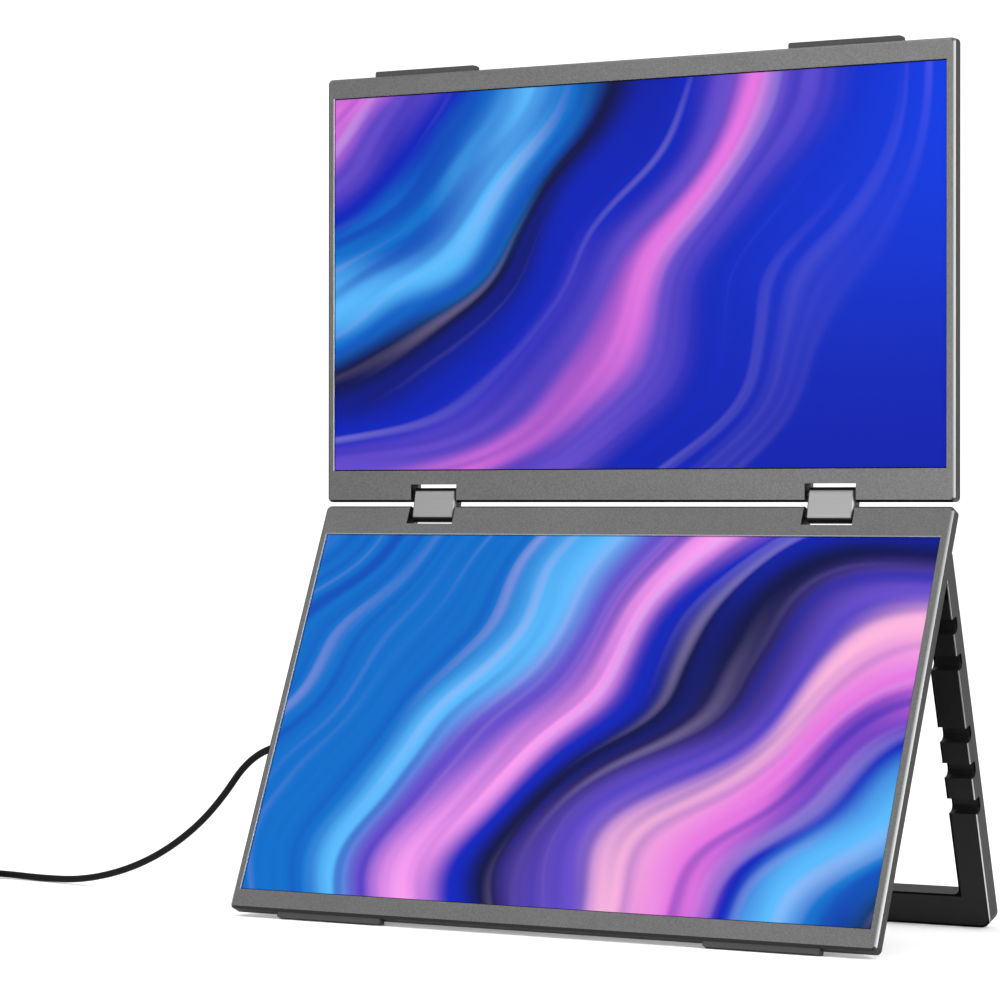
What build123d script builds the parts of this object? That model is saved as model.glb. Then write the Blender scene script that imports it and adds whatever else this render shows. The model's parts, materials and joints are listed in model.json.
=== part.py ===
from build123d import *
from math import atan2, cos, degrees, pi, radians, sin, sqrt, tan
import os

# A dual portable monitor: two 14 inch screens joined by two-axis hinges,
# with a rear stand and a plugged-in cable. Millimetres and degrees.

# Screens and bezels
active_w = 309.4
active_h = 174.0
side_bezel = 3.8
far_bezel = 9.05
hinge_bezel = 14.55
corner_r = 2.2

# Housing of each screen, measured back from its front face
frame_depth = 6.0
cover_depth = 3.0
frame_wall = 1.2
bezel_t = 0.8
front_bevel = 1.1
back_corner_r = 0.4
cover_wall = 1.4
cover_skin = 1.7

# Display panel inside each housing
panel_gap = 0.05
panel_margin = 1.6
panel_hinge_margin = 3.3
glass_t = 1.1
guide_t = 1.2
tray_t = 0.4
timing_side = 40.0
timing_h = 9.5
timing_t = 0.8
timing_back = 0.5
timing_chip_pitch = 42.0
timing_chip_w = 14.0
timing_chip_h = 3.0
timing_chip_t = 0.8
timing_socket_w = 24.0
timing_socket_h = 4.0
timing_socket_t = 1.0
timing_edge = 1.0

# Pose in which the object stands
lean = 24.0

# Two-axis hinge
hinge_side = 58.2
link_w = 22.0
link_r = 3.3
axis_gap = 9.6
axis_in = 3.3
axis_back = 4.1
shaft_r = 1.2
running = 0.05
seat_gap = 0.02
cap_h = 12.4
cap_t = 2.0
cap_bevel = 0.7
clip_r = 2.2
clip_len = 14.0
clip_slit = 0.8
notch_w = 24.3
notch_depth_upper = 8.2
notch_depth_lower = 9.1
ear_t = 3.0
ear_gap = 0.3
ear_over = 6.5
ear_front = 1.9
shaft_over = 0.25
shaft_hole_gap = 0.15
bracket_t = 1.2
bracket_half = 20.0
bracket_reach = 26.0
bracket_screw_x = 14.5
bracket_screw_near = 14.5
bracket_screw_far = 21.5
small_screw_r = 0.9
small_head_r = 1.9
small_head_t = 0.6
screw_hole_gap = 0.1
screw_skin = 0.7

# Rubber strips on the far ends
strip_len = 53.5
strip_side = 52.3
strip_h = 2.5
strip_front = 1.5
strip_back = 5.9
strip_flat = 2.0
strip_round = 0.9

# Stand
stand_axis_s = 22.3
stand_t = 8.6
stand_gap = 0.4
stand_inset = 3.5
stand_opening = 41.66
leg_w = 13.3
bar_h = 15.0
stand_corner_r = 5.0
window_r = 3.0
channel_wall = 0.9
channel_back = 1.0
liner_gap = 0.05
liner_top = 12.0
cable_notch_first = 25.7
cable_notch_pitch = 16.5
cable_notch_steps = (0, 1, 3, 4, 5)
cable_notch_h = 6.7
cable_notch_depth = 4.5
cable_notch_r = 3.0
cable_notch_low_r = 0.8
pin_r = 2.2
pin_head_r = 3.2
pin_head_t = 0.8
pin_gap = 0.1
pin_skin = 2.5
bracket_w = 13.0
bracket_side_gap = 0.5
bracket_base_t = 1.8
bracket_base_over = 3.5
pad_x0 = 40.0
pad_x1 = 95.0
pad_half = 3.3
pad_t = 0.5

# Controller housing on the back of the lower screen
box_side = 46.5
box_s0 = 38.0
box_s1 = 163.0
box_depth = 9.0
box_r = 7.0
box_wall = 1.8
box_round = 1.6
post_r = 3.2
post_side = 8.5
post_in = 7.0
cover_screw_r = 1.0
cover_head_r = 2.1
cover_head_t = 1.0
cover_head_sink = 0.3
screw_bite = 1.0
slot_count = 8
slot_pitch = 3.2
slot_w = 1.3
slot_len = 6.5
slot_edge = 1.2
speaker_x = 66.0
speaker_w = 32.0
speaker_h = 9.5
speaker_t = 4.2
speaker_r = 1.5
speaker_gap = 0.2
speaker_back_gap = 0.1

# Boards
board_gap = 0.5
board_t = 0.8
board_near = 12.0
board_far = 15.0
board_side_gap = 0.4
board_post_gap = 2.3
board_screw_in = 5.0
board_screw_side = 6.0
port_zone = 25.8
board_screw_gap = 0.15
board_head_t = 0.8
flat_w = 20.0
flat_t = 0.3
flat_lead = 4.5
flat_slot_gap = 1.0
flat_end = 7.0

# Chips on the controller board: across and along from its middle, size and height
chip_table = (
    (-26.0, -4.0, 20.0, 1.4),
    (14.0, -4.0, 12.0, 1.1),
    (14.0, 13.0, 12.0, 1.1),
    (54.0, 13.0, 10.0, 3.0),
    (54.0, -13.0, 8.0, 3.0),
)

# Ports on the viewer's left, each in line with one of the stand's cable notches
port_audio_step = 1
port_power_step = 3
port_video_step = 4
port_hdmi_step = 5
port_recess = 0.6
shell_back = 1.0
tongue_root = 0.5
usb_w = 8.94
usb_h = 3.2
usb_len = 7.35
usb_wall = 0.3
tongue_w = 6.6
tongue_t = 0.7
tongue_short = 2.2
hdmi_w = 11.2
hdmi_h = 3.3
hdmi_len = 8.0
hdmi_wall = 0.35
hdmi_step_w = 1.5
hdmi_step_h = 1.2
hdmi_tongue_rise = 1.9
hdmi_tongue_w = 7.2
jack_w = 6.2
jack_h = 5.0
jack_len = 12.0
jack_bore_r = 1.8
jack_nose_r = 2.6
jack_nose_recess = 0.4
port_gap = 0.35

# Buttons on the viewer's right, and the switches that they press
button_pitch = 10.1
button_rise = 3.5
button_w = 7.0
button_h = 2.8
button_out = 0.9
button_gap = 0.2
button_round = 0.4
button_travel = 0.45
button_seat = 0.05
flange_over = 1.0
flange_t = 0.75
stem_r = 0.8
stem_len = 0.6
stem_gap = 0.15
switch_size = 4.4
switch_t = 1.6
switch_board_over = 7.0
switch_board_rise = 3.0

# Cable
cable_d = 3.3
plug_w = 8.25
plug_h = 2.4
plug_in = 6.2
plug_wall = 0.35
grip_w = 11.0
grip_h = 5.4
grip_len = 20.0
grip_round = 2.2
grip_bevel = 0.8
grip_port_gap = 0.2
relief_len = 8.6
relief_d = 4.6
relief_lip = 0.25
coil_r = 24.4
coil_pitch = 3.9
layer_step = 3.9
turns_in = 3.0
turns_climb = 0.5
turns_out = 2.75
tie_t = 0.6
tie_w = 8.0
tie_gap = 0.4
tie_turn = 0.75

# Worked out from the sizes above
monitor_w = active_w + 2 * side_bezel
monitor_h = hinge_bezel + active_h + far_bezel
monitor_t = frame_depth + cover_depth
lean_sin = sin(radians(lean))
lean_cos = cos(radians(lean))
panel_back = bezel_t + panel_gap + glass_t + guide_t + tray_t
hinge_x = monitor_w / 2 - hinge_side
strip_x = monitor_w / 2 - strip_side
notch_wall_half = notch_w / 2 + frame_wall
stand_outer_x = monitor_w / 2 - stand_inset
stand_axis_y = monitor_t + stand_gap + stand_t / 2
stand_tilt = stand_opening - lean
box_half_w = monitor_w / 2 - box_side
box_back = monitor_t + box_depth
box_floor = box_back - box_wall
post_x = box_half_w - post_side
board_y0 = monitor_t + board_gap
board_y1 = board_y0 + board_t
board_s0 = box_s0 + board_near
board_s1 = box_s1 - board_far
board_far_x = post_x - post_r - board_post_gap
board_port_x = box_half_w - box_wall - board_side_gap
port_front = box_half_w - port_recess
port_y = board_y1 + usb_h / 2
button_y = monitor_t + button_rise
button_inner = box_half_w - box_wall - button_seat
switch_x = -button_inner + flange_t + stem_len + button_travel + stem_gap
flat_s = board_s0 - flat_lead


def notch_s(step):
    """Distance from the hinge edge of one of the stand's cable notches, with the stand folded."""
    return stand_axis_s + cable_notch_first + step * cable_notch_pitch


port_audio_s = notch_s(port_audio_step)
port_power_s = notch_s(port_power_step)
port_video_s = notch_s(port_video_step)
port_hdmi_s = notch_s(port_hdmi_step)
button_s = {
    "power_button": port_hdmi_s,
    "plus_button": port_power_s + 2 * button_pitch,
    "menu_button": port_power_s + button_pitch,
    "minus_button": port_power_s,
}


def block(x0, x1, y0, y1, z0, z1):
    """Box between two opposite corners."""
    corner = (Align.MIN, Align.MIN, Align.MIN)
    return Pos(x0, y0, z0) * Box(x1 - x0, y1 - y0, z1 - z0, align=corner)


def group(shapes):
    """One node made of several separate solids."""
    return Compound([solid for shape in shapes for solid in shape.solids()])


def rod_x(x0, x1, y, z, r):
    """Round bar along X."""
    base = (Align.CENTER, Align.CENTER, Align.MIN)
    return Pos(x0, y, z) * Rot(0, 90, 0) * Cylinder(r, x1 - x0, align=base)


def rod_y(x, z, y0, y1, r):
    """Round bar along Y."""
    base = (Align.CENTER, Align.CENTER, Align.MIN)
    return Pos(x, y0, z) * Rot(-90, 0, 0) * Cylinder(r, y1 - y0, align=base)


def plate(width, z0, z1, y0, y1, r):
    """Upright plate with rounded corners, its thickness along Y."""
    face_plane = Plane((0, y0, (z0 + z1) / 2), x_dir=(1, 0, 0), z_dir=(0, 1, 0))
    outline = RectangleRounded(width, z1 - z0, r)
    return extrude(face_plane * outline, y1 - y0)


def along_x(face, x0, x1):
    """Bar along X whose section is drawn in Y and Z."""
    placed = Plane((x0, 0, 0), x_dir=(0, 1, 0), z_dir=(1, 0, 0)) * face
    return extrude(placed, x1 - x0, dir=(1, 0, 0))


def notches(depth):
    """Space of the two hinge notches, right through a housing."""
    cuts = []
    for x in (-hinge_x, hinge_x):
        cuts.append(block(x - notch_w / 2, x + notch_w / 2, -1, monitor_t + 1, -1, depth))
    return cuts


def notch_walls(depth, y0, y1):
    """The housing walls that go round the two hinge notches, with the notches still filled."""
    top = depth + frame_wall
    walls = []
    for x in (-hinge_x, hinge_x):
        walls.append(block(x - notch_wall_half, x + notch_wall_half, y0, y1, -1, top))
    return walls


def front_frame(depth):
    """Front bezel and side walls of a screen housing, one piece."""
    frame = plate(monitor_w, 0, monitor_h, 0, frame_depth, corner_r)
    frame = chamfer(frame.faces().sort_by(Axis.Y)[0].edges(), front_bevel)
    inside = plate(
        monitor_w - 2 * frame_wall,
        frame_wall,
        monitor_h - frame_wall,
        bezel_t,
        frame_depth,
        corner_r - frame_wall,
    )
    inside -= notch_walls(depth, bezel_t, frame_depth)
    frame -= inside
    frame -= notches(depth)
    frame -= block(-active_w / 2, active_w / 2, -1, 1, hinge_bezel, hinge_bezel + active_h)
    for x in (-hinge_x, hinge_x):
        hole_half = notch_wall_half + 1
        frame -= rod_x(x - hole_half, x + hole_half, axis_back, axis_in, shaft_r + shaft_hole_gap)
    return frame


def sloped_plate(inset, r, depth):
    """Plate behind the frame whose edges slope in at 45 degrees, with tighter corners at its back."""
    faces = []
    for back, corner in ((0, r), (depth, back_corner_r)):
        edge = inset + back
        plane = Plane((0, frame_depth + back, monitor_h / 2), x_dir=(1, 0, 0), z_dir=(0, 1, 0))
        faces.append(plane * RectangleRounded(monitor_w - 2 * edge, monitor_h - 2 * edge, corner))
    return loft(faces, ruled=True)


def rear_cover(depth):
    """Bevelled back shell of a screen housing."""
    cover = sloped_plate(0, corner_r, cover_depth)
    inside = sloped_plate(cover_skin, corner_r - cover_skin, cover_depth - cover_wall)
    inside -= notch_walls(depth, frame_depth, monitor_t)
    cover -= inside
    cover -= notches(depth)
    for x, s in bracket_screw_places():
        cover -= rod_y(x, s, monitor_t - cover_wall - 1, monitor_t - screw_skin, small_screw_r + seat_gap)
    return cover


def display_panel():
    """Glass, light guide and steel tray behind one bezel, back to back."""
    half_w = active_w / 2 + panel_margin
    s0 = hinge_bezel - panel_hinge_margin
    s1 = hinge_bezel + active_h + panel_margin
    y0 = bezel_t + panel_gap
    y1 = y0 + glass_t
    y2 = y1 + guide_t
    glass = block(-half_w, half_w, y0, y1, s0, s1)
    guide = block(-half_w + tray_t, half_w - tray_t, y1, y2, s0 + tray_t, s1 - tray_t)
    tray = block(-half_w, half_w, y1, y2 + tray_t, s0, s1) - guide
    return glass, guide, tray


def timing_board():
    """Narrow driver board on the back of the panel tray, with its chips and cable socket."""
    s0 = hinge_bezel - timing_back
    s1 = s0 + timing_h
    mid = (s0 + s1) / 2
    top = panel_back + timing_t
    board_half = active_w / 2 - timing_side
    board = block(-board_half, board_half, panel_back, top, s0, s1)
    for step in (-2, -1, 1, 2):
        x = step * timing_chip_pitch
        chip_half = timing_chip_w / 2
        low = mid - timing_chip_h / 2
        board += block(x - chip_half, x + chip_half, top, top + timing_chip_t, low, low + timing_chip_h)
    half = timing_socket_w / 2
    socket_s1 = s1 - timing_edge
    board += block(-half, half, top, top + timing_socket_t, socket_s1 - timing_socket_h, socket_s1)
    return board


def bracket_screw_places():
    """Where the three screws of each hinge bracket sit, across and along."""
    places = []
    for x in (-hinge_x, hinge_x):
        places.append((x - bracket_screw_x, bracket_screw_near))
        places.append((x + bracket_screw_x, bracket_screw_near))
        places.append((x, bracket_screw_far))
    return places


def hinge_brackets():
    """Steel plates with two ears each, which hold the hinge shafts inside one housing."""
    y1 = monitor_t - cover_wall
    y0 = y1 - bracket_t
    inner = notch_wall_half + ear_gap
    ear_top = axis_in + ear_over
    edge = cover_skin + cover_depth - cover_wall + 0.3
    brackets = []
    for x in (-hinge_x, hinge_x):
        one = block(x - bracket_half, x + bracket_half, y0, y1, edge, bracket_reach)
        one -= block(x - inner, x + inner, y0 - 1, y1 + 1, -1, notch_depth_lower + frame_wall + ear_gap)
        for side in (-1, 1):
            x0, x1 = sorted((x + side * inner, x + side * (inner + ear_t)))
            one += block(x0, x1, axis_back - ear_front, frame_depth - 0.1, frame_wall + 0.2, ear_top)
            one += block(x0, x1, frame_depth - 0.1, y1, edge, ear_top)
        one -= rod_x(x - bracket_half, x + bracket_half, axis_back, axis_in, shaft_r + seat_gap)
        for screw_x, s in bracket_screw_places():
            if abs(screw_x - x) < bracket_half:
                one -= rod_y(screw_x, s, y0 - 1, y1 + 1, small_screw_r + screw_hole_gap)
        brackets.append(one)
    return group(brackets)


def bracket_screws():
    """Small pan-head screws that fix the hinge brackets to the back shell."""
    y1 = monitor_t - cover_wall - bracket_t
    screws = []
    for x, s in bracket_screw_places():
        head = rod_y(x, s, y1 - small_head_t, y1, small_head_r)
        shank = rod_y(x, s, y1, monitor_t - screw_skin - screw_hole_gap, small_screw_r)
        screws.append(head + shank)
    return group(screws)


def hinge_shafts():
    """Two steel shafts of one housing, each held by its bracket's ears."""
    reach = notch_wall_half + ear_gap + ear_t + shaft_over
    shafts = []
    for x in (-hinge_x, hinge_x):
        shafts.append(rod_x(x - reach, x + reach, axis_back, axis_in, shaft_r))
    return group(shafts)


def foot_strips():
    """Rubber strips on the far end of a housing, bevelled to stand flat on a table."""
    top = monitor_h + strip_h
    section = Polygon(
        (strip_front, monitor_h),
        (strip_back, monitor_h),
        (strip_back, top - strip_flat * lean_sin),
        (strip_back - strip_flat * lean_cos, top),
        (strip_front, top),
        align=None,
    )
    strips = []
    for x in (-strip_x, strip_x):
        one = along_x(section, x - strip_len / 2, x + strip_len / 2)
        ends = one.edges().filter_by(Axis.Y).group_by(Axis.Z)[-1]
        one = fillet(ends, strip_round)
        strips.append(one)
    return group(strips)


# The link between the screens, drawn upright midway between its two axes


def link_section(r):
    """Upright rounded slot that covers both axes."""
    return Rot(0, 0, 90) * SlotCenterToCenter(axis_gap, 2 * r)


def cap_space(gap):
    """Space that the metal cap takes out of the front of a link."""
    top = cap_h / 2 + gap
    return block(-link_w, link_w, -link_r - 1, -link_r + cap_t + gap, -top, top)


def hinge_link():
    """Black link with its two barrels."""
    link = along_x(link_section(link_r), -link_w / 2, link_w / 2) - cap_space(0)
    for z in (-axis_gap / 2, axis_gap / 2):
        link -= rod_x(-link_w, link_w, 0, z, shaft_r + running)
        link -= rod_x(-clip_len / 2, clip_len / 2, 0, z, clip_r + seat_gap)
    return link


def hinge_cap():
    """Pale metal cover plate on the front of a link, with bevelled sides."""
    cap = along_x(link_section(link_r), -link_w / 2, link_w / 2) & cap_space(0)
    front = cap.faces().sort_by(Axis.Y)[0]
    cap = chamfer(front.edges().filter_by(Axis.Z), cap_bevel)
    for z in (-axis_gap / 2, axis_gap / 2):
        cap -= rod_x(-link_w, link_w, 0, z, clip_r + seat_gap)
    return cap


def friction_clips():
    """Slit spring sleeves that grip the shafts inside a link."""
    clips = []
    for z in (-axis_gap / 2, axis_gap / 2):
        half = clip_len / 2 - running
        clip = rod_x(-half, half, 0, z, clip_r) - rod_x(-link_w, link_w, 0, z, shaft_r + running)
        clip -= block(-link_w, link_w, 0, clip_r + 1, z - clip_slit / 2, z + clip_slit / 2)
        clips.append(clip)
    return clips


# Controller housing and what it holds, on the back of the lower screen.
# Its own +X is the viewer's left once the screen is turned hinge edge up.


def box_posts():
    """Places of the housing's four screw posts."""
    places = []
    for x in (-post_x, post_x):
        places += [(x, box_s0 + post_in), (x, box_s1 - post_in)]
    return places


def usb_places():
    """Where the two reversible sockets sit, by distance from the hinge edge."""
    return (port_video_s, port_power_s)


def controller_cover():
    """Moulded housing with port openings, button holes and speaker slots."""
    cover = plate(2 * box_half_w, box_s0, box_s1, monitor_t, box_back, box_r)
    cover = fillet(cover.faces().sort_by(Axis.Y)[-1].edges(), box_round)
    inside = plate(
        2 * (box_half_w - box_wall),
        box_s0 + box_wall,
        box_s1 - box_wall,
        monitor_t,
        box_floor,
        box_r - box_wall,
    )
    for x, s in box_posts():
        inside -= rod_y(x, s, monitor_t, box_floor, post_r)
    cover -= inside
    for x, s in box_posts():
        sink = cover_head_sink + cover_head_t
        cover -= rod_y(x, s, monitor_t - 1, box_back + 1, cover_screw_r + screw_hole_gap)
        cover -= rod_y(x, s, box_back - sink, box_back + 1, cover_head_r + screw_hole_gap)
    side0 = box_half_w - box_wall - 1
    side1 = box_half_w + 1
    for s in usb_places():
        half_h = usb_h / 2 + port_gap
        half_w = usb_w / 2 + port_gap
        cover -= block(side0, side1, port_y - half_h, port_y + half_h, s - half_w, s + half_w)
    half_w = hdmi_w / 2 + port_gap
    cover -= block(
        side0,
        side1,
        board_y1 - port_gap,
        board_y1 + hdmi_h + port_gap,
        port_hdmi_s - half_w,
        port_hdmi_s + half_w,
    )
    cover -= rod_x(side0, side1, board_y1 + jack_h / 2, port_audio_s, jack_nose_r + port_gap)
    for s in button_s.values():
        half_h = button_h / 2 + button_gap
        half_w = button_w / 2 + button_gap
        cover -= block(-side1, -side0, button_y - half_h, button_y + half_h, s - half_w, s + half_w)
    for side in (-1, 1):
        for step in range(slot_count):
            x = side * speaker_x + (step - (slot_count - 1) / 2) * slot_pitch
            s1 = box_s1 - box_wall - slot_edge
            cover -= block(x - slot_w / 2, x + slot_w / 2, box_floor - 1, box_back + 1, s1 - slot_len, s1)
    return cover


def cover_screws():
    """Screws that close the controller housing."""
    screws = []
    for x, s in box_posts():
        top = box_back - cover_head_sink
        head = rod_y(x, s, top - cover_head_t, top, cover_head_r)
        shank = rod_y(x, s, monitor_t - screw_bite, top - cover_head_t, cover_screw_r)
        screws.append(head + shank)
    return group(screws)


def board_screw_places():
    """Places of the controller board's four screws."""
    across = (-board_far_x + board_screw_side, board_port_x - port_zone)
    along = (board_s0 + board_screw_in, board_s1 - board_screw_in)
    return [(x, s) for x in across for s in along]


def main_board():
    """Controller board behind the ports."""
    board = block(-board_far_x, board_port_x, board_y0, board_y1, board_s0, board_s1)
    for x, s in board_screw_places():
        board -= rod_y(x, s, board_y0 - 1, board_y1 + 1, small_screw_r + board_screw_gap)
    return board


def board_screws():
    """Screws that hold the controller board to the back shell."""
    screws = []
    for x, s in board_screw_places():
        head = rod_y(x, s, board_y1, board_y1 + board_head_t, small_head_r)
        shank = rod_y(x, s, monitor_t - screw_bite, board_y1, small_screw_r)
        screws.append(head + shank)
    return group(screws)


def board_chips():
    """Scaler, memory and power parts on the controller board."""
    mid_x = (board_port_x - board_far_x) / 2
    mid_s = (board_s0 + board_s1) / 2
    chips = []
    for across, along, size, height in chip_table:
        x = mid_x + across
        s = mid_s + along
        half = size / 2
        chips.append(block(x - half, x + half, board_y1, board_y1 + height, s - half, s + half))
    return group(chips)


def usb_sockets():
    """Two reversible sockets, each a hollow shell with its contact tongue."""
    back = port_front - usb_len
    sockets = []
    for s in usb_places():
        shell_plane = Plane((back, port_y, s), x_dir=(0, 0, 1), z_dir=(1, 0, 0))
        shell = extrude(shell_plane * RectangleRounded(usb_w, usb_h, usb_h / 2 - 0.02), usb_len)
        hollow_plane = Plane((back + shell_back, port_y, s), x_dir=(0, 0, 1), z_dir=(1, 0, 0))
        hollow_w = usb_w - 2 * usb_wall
        hollow_h = usb_h - 2 * usb_wall
        shell -= extrude(hollow_plane * RectangleRounded(hollow_w, hollow_h, hollow_h / 2 - 0.02), usb_len)
        shell += block(
            back + tongue_root,
            port_front - tongue_short,
            port_y - tongue_t / 2,
            port_y + tongue_t / 2,
            s - tongue_w / 2,
            s + tongue_w / 2,
        )
        sockets.append(shell)
    return group(sockets)


def hdmi_socket():
    """Mini video socket with its step-sided shell."""
    back = port_front - hdmi_len
    half = hdmi_w / 2
    outline = Polygon(
        (board_y1, -half + hdmi_step_w),
        (board_y1, half - hdmi_step_w),
        (board_y1 + hdmi_h - hdmi_step_h, half),
        (board_y1 + hdmi_h, half),
        (board_y1 + hdmi_h, -half),
        (board_y1 + hdmi_h - hdmi_step_h, -half),
        align=None,
    )
    shell = along_x(Pos(0, port_hdmi_s) * outline, back, port_front)
    hollow = Pos(0, port_hdmi_s) * offset(outline, -hdmi_wall, kind=Kind.INTERSECTION)
    shell -= along_x(hollow, back + shell_back, port_front + 1)
    mid = board_y1 + hdmi_tongue_rise
    shell += block(
        back + tongue_root,
        port_front - tongue_short,
        mid - tongue_t / 2,
        mid + tongue_t / 2,
        port_hdmi_s - hdmi_tongue_w / 2,
        port_hdmi_s + hdmi_tongue_w / 2,
    )
    return shell


def audio_jack():
    """Headphone socket with a round nose in the housing's side."""
    back = board_port_x - jack_len
    y = board_y1 + jack_h / 2
    jack = block(
        back,
        board_port_x,
        board_y1,
        board_y1 + jack_h,
        port_audio_s - jack_w / 2,
        port_audio_s + jack_w / 2,
    )
    jack += rod_x(board_port_x - 0.1, box_half_w - jack_nose_recess, y, port_audio_s, jack_nose_r)
    jack -= rod_x(back + shell_back, box_half_w, y, port_audio_s, jack_bore_r)
    return jack


def speakers():
    """Two flat speakers behind the slots."""
    s1 = box_s1 - box_wall - speaker_gap
    y1 = box_floor - speaker_back_gap
    half = speaker_w / 2
    boxes = []
    for side in (-1, 1):
        x = side * speaker_x
        box = block(x - half, x + half, y1 - speaker_t, y1, s1 - speaker_h, s1)
        boxes.append(fillet(box.edges().filter_by(Axis.Y), speaker_r))
    return group(boxes)


def button(s):
    """Key with a flange behind the housing wall and a stem towards its switch."""
    key = block(
        -box_half_w - button_out,
        -button_inner,
        button_y - button_h / 2,
        button_y + button_h / 2,
        s - button_w / 2,
        s + button_w / 2,
    )
    key = fillet(key.faces().sort_by(Axis.X)[0].edges(), button_round)
    half_h = button_h / 2 + flange_over
    half_w = button_w / 2 + flange_over
    flange_x = -button_inner + flange_t
    key += block(-button_inner, flange_x, button_y - half_h, button_y + half_h, s - half_w, s + half_w)
    key += rod_x(-button_inner, flange_x + stem_len, button_y, s, stem_r)
    return key


def switches():
    """Push switches, one behind each key."""
    half = switch_size / 2
    bodies = []
    for s in button_s.values():
        body = block(switch_x, switch_x + switch_t, button_y - half, button_y + half, s - half, s + half)
        bodies.append(body)
    return group(bodies)


def switch_board():
    """Small upright board that carries the push switches."""
    x0 = switch_x + switch_t
    low = min(button_s.values()) - switch_board_over
    high = max(button_s.values()) + switch_board_over
    return block(x0, x0 + board_t, board_y0, button_y + switch_board_rise, low, high)


def display_cable():
    """Flat flexible cable from the lower panel's driver board to the controller board."""
    half = flat_w / 2
    y0 = panel_back + timing_t + timing_socket_t + 0.05
    y1 = board_y1 + 0.1
    socket_s = hinge_bezel - timing_back + timing_h - timing_edge - timing_socket_h / 2
    cable = block(-half, half, y0, y0 + flat_t, socket_s, flat_s + flat_t)
    cable += block(-half, half, y0, y1 + flat_t, flat_s, flat_s + flat_t)
    cable += block(-half, half, y1, y1 + flat_t, flat_s, board_s0 + flat_end)
    return cable


def lower_rear_cover():
    """Back shell of the lower screen with its cable slot and screw holes."""
    cover = rear_cover(notch_depth_lower)
    half = flat_w / 2 + flat_slot_gap
    slot_s1 = flat_s + flat_t + flat_slot_gap
    cover -= block(-half, half, monitor_t - cover_wall - 1, monitor_t + 1, flat_s - flat_slot_gap, slot_s1)
    hole_y = monitor_t - screw_bite - 0.1
    for x, s in box_posts():
        cover -= rod_y(x, s, hole_y, monitor_t + 1, cover_screw_r + seat_gap)
    for x, s in board_screw_places():
        cover -= rod_y(x, s, hole_y, monitor_t + 1, small_screw_r + seat_gap)
    return cover


def stand_brackets():
    """Bearing blocks of the stand on the back of the lower screen."""
    x1 = stand_outer_x - leg_w - bracket_side_gap
    x0 = x1 - bracket_w
    r = stand_t / 2
    section = Pos(stand_axis_y, stand_axis_s) * Circle(r)
    section += Pos((monitor_t + stand_axis_y) / 2, stand_axis_s) * Rectangle(stand_axis_y - monitor_t, 2 * r)
    base = Rectangle(bracket_base_t, 2 * (r + bracket_base_over))
    section += Pos(monitor_t + bracket_base_t / 2, stand_axis_s) * base
    blocks = []
    for side in (-1, 1):
        low, high = sorted((side * x0, side * x1))
        one = along_x(section, low, high)
        one -= rod_x(low - 1, high + 1, stand_axis_y, stand_axis_s, pin_r + running)
        blocks.append(one)
    return group(blocks)


# Stand, drawn hanging straight down from its axis


def stand_profile():
    """Leg seen from the side: rounded in front of the axis, square behind it and at the foot."""
    r = stand_t / 2
    pivot = Circle(r) + Pos(r / 2, r / 2) * Rectangle(r, r)
    return pivot + Pos(0, -leg_len / 2) * Rectangle(2 * r, leg_len)


def stand_notches():
    """Rounded openings across the legs, through which plugs reach the ports."""
    front = -stand_t / 2
    cuts = []
    for step in cable_notch_steps:
        z = -(cable_notch_first + step * cable_notch_pitch)
        half = cable_notch_h / 2
        section = Polygon(
            (front - 2, z - half),
            (front + cable_notch_depth, z - half),
            (front + cable_notch_depth, z + half),
            (front - 2, z + half),
            align=None,
        )
        inner = section.vertices().group_by(Axis.X)[-1].sort_by(Axis.Y)
        section = fillet(inner[0], cable_notch_r)
        upper = section.vertices().group_by(Axis.X)[-1].sort_by(Axis.Y)
        section = fillet(upper[-1], cable_notch_low_r)
        for side in (-1, 1):
            x0, x1 = sorted((side * (stand_outer_x - leg_w - 1), side * (stand_outer_x + 1)))
            cuts.append(along_x(section, x0, x1))
    return cuts


def stand_channel(gap, y0, y1):
    """U-shaped space inside the stand's channel, smaller by a gap all round."""
    inset = channel_wall + gap
    half = stand_outer_x - inset
    bottom = -leg_len + inset
    space = plate(2 * half, bottom, -liner_top - gap, y0, y1, stand_corner_r - inset)
    window_half = stand_outer_x - leg_w + inset
    space -= block(-window_half, window_half, y0 - 1, y1 + 1, -leg_len + bar_h - inset, 10)
    return space


def stand_frame():
    """Metal stand: two legs and a foot bar in one open channel."""
    frame = along_x(stand_profile(), -stand_outer_x, stand_outer_x)
    corners = frame.edges().filter_by(Axis.Y).group_by(Axis.Z)[0]
    frame = fillet(corners, stand_corner_r)
    window_half = stand_outer_x - leg_w
    window = plate(2 * window_half, -leg_len + bar_h, 20, -stand_t, stand_t, window_r)
    frame -= window
    frame -= stand_channel(0, -stand_t, stand_t / 2 - channel_back)
    frame -= stand_notches()
    for side in (-1, 1):
        x0, x1 = sorted((side * (window_half - 1), side * (stand_outer_x - pin_skin)))
        frame -= rod_x(x0, x1, 0, 0, pin_r + seat_gap)
    return frame


def stand_liner():
    """Black insert that fills the channel and guides the plugs."""
    liner = stand_channel(liner_gap, -stand_t / 2 + 0.1, stand_t / 2 - channel_back - liner_gap)
    liner -= stand_notches()
    return liner


def stand_pins():
    """Headed pins, held in the legs and turning in the brackets."""
    outer = stand_outer_x - pin_skin - pin_gap
    head1 = stand_outer_x - leg_w - bracket_side_gap - bracket_w - pin_gap
    pins = []
    for side in (-1, 1):
        x0, x1 = sorted((side * head1, side * outer))
        h0, h1 = sorted((side * head1, side * (head1 - pin_head_t)))
        pins.append(rod_x(x0, x1, 0, 0, pin_r) + rod_x(h0, h1, 0, 0, pin_head_r))
    return group(pins)


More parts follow.
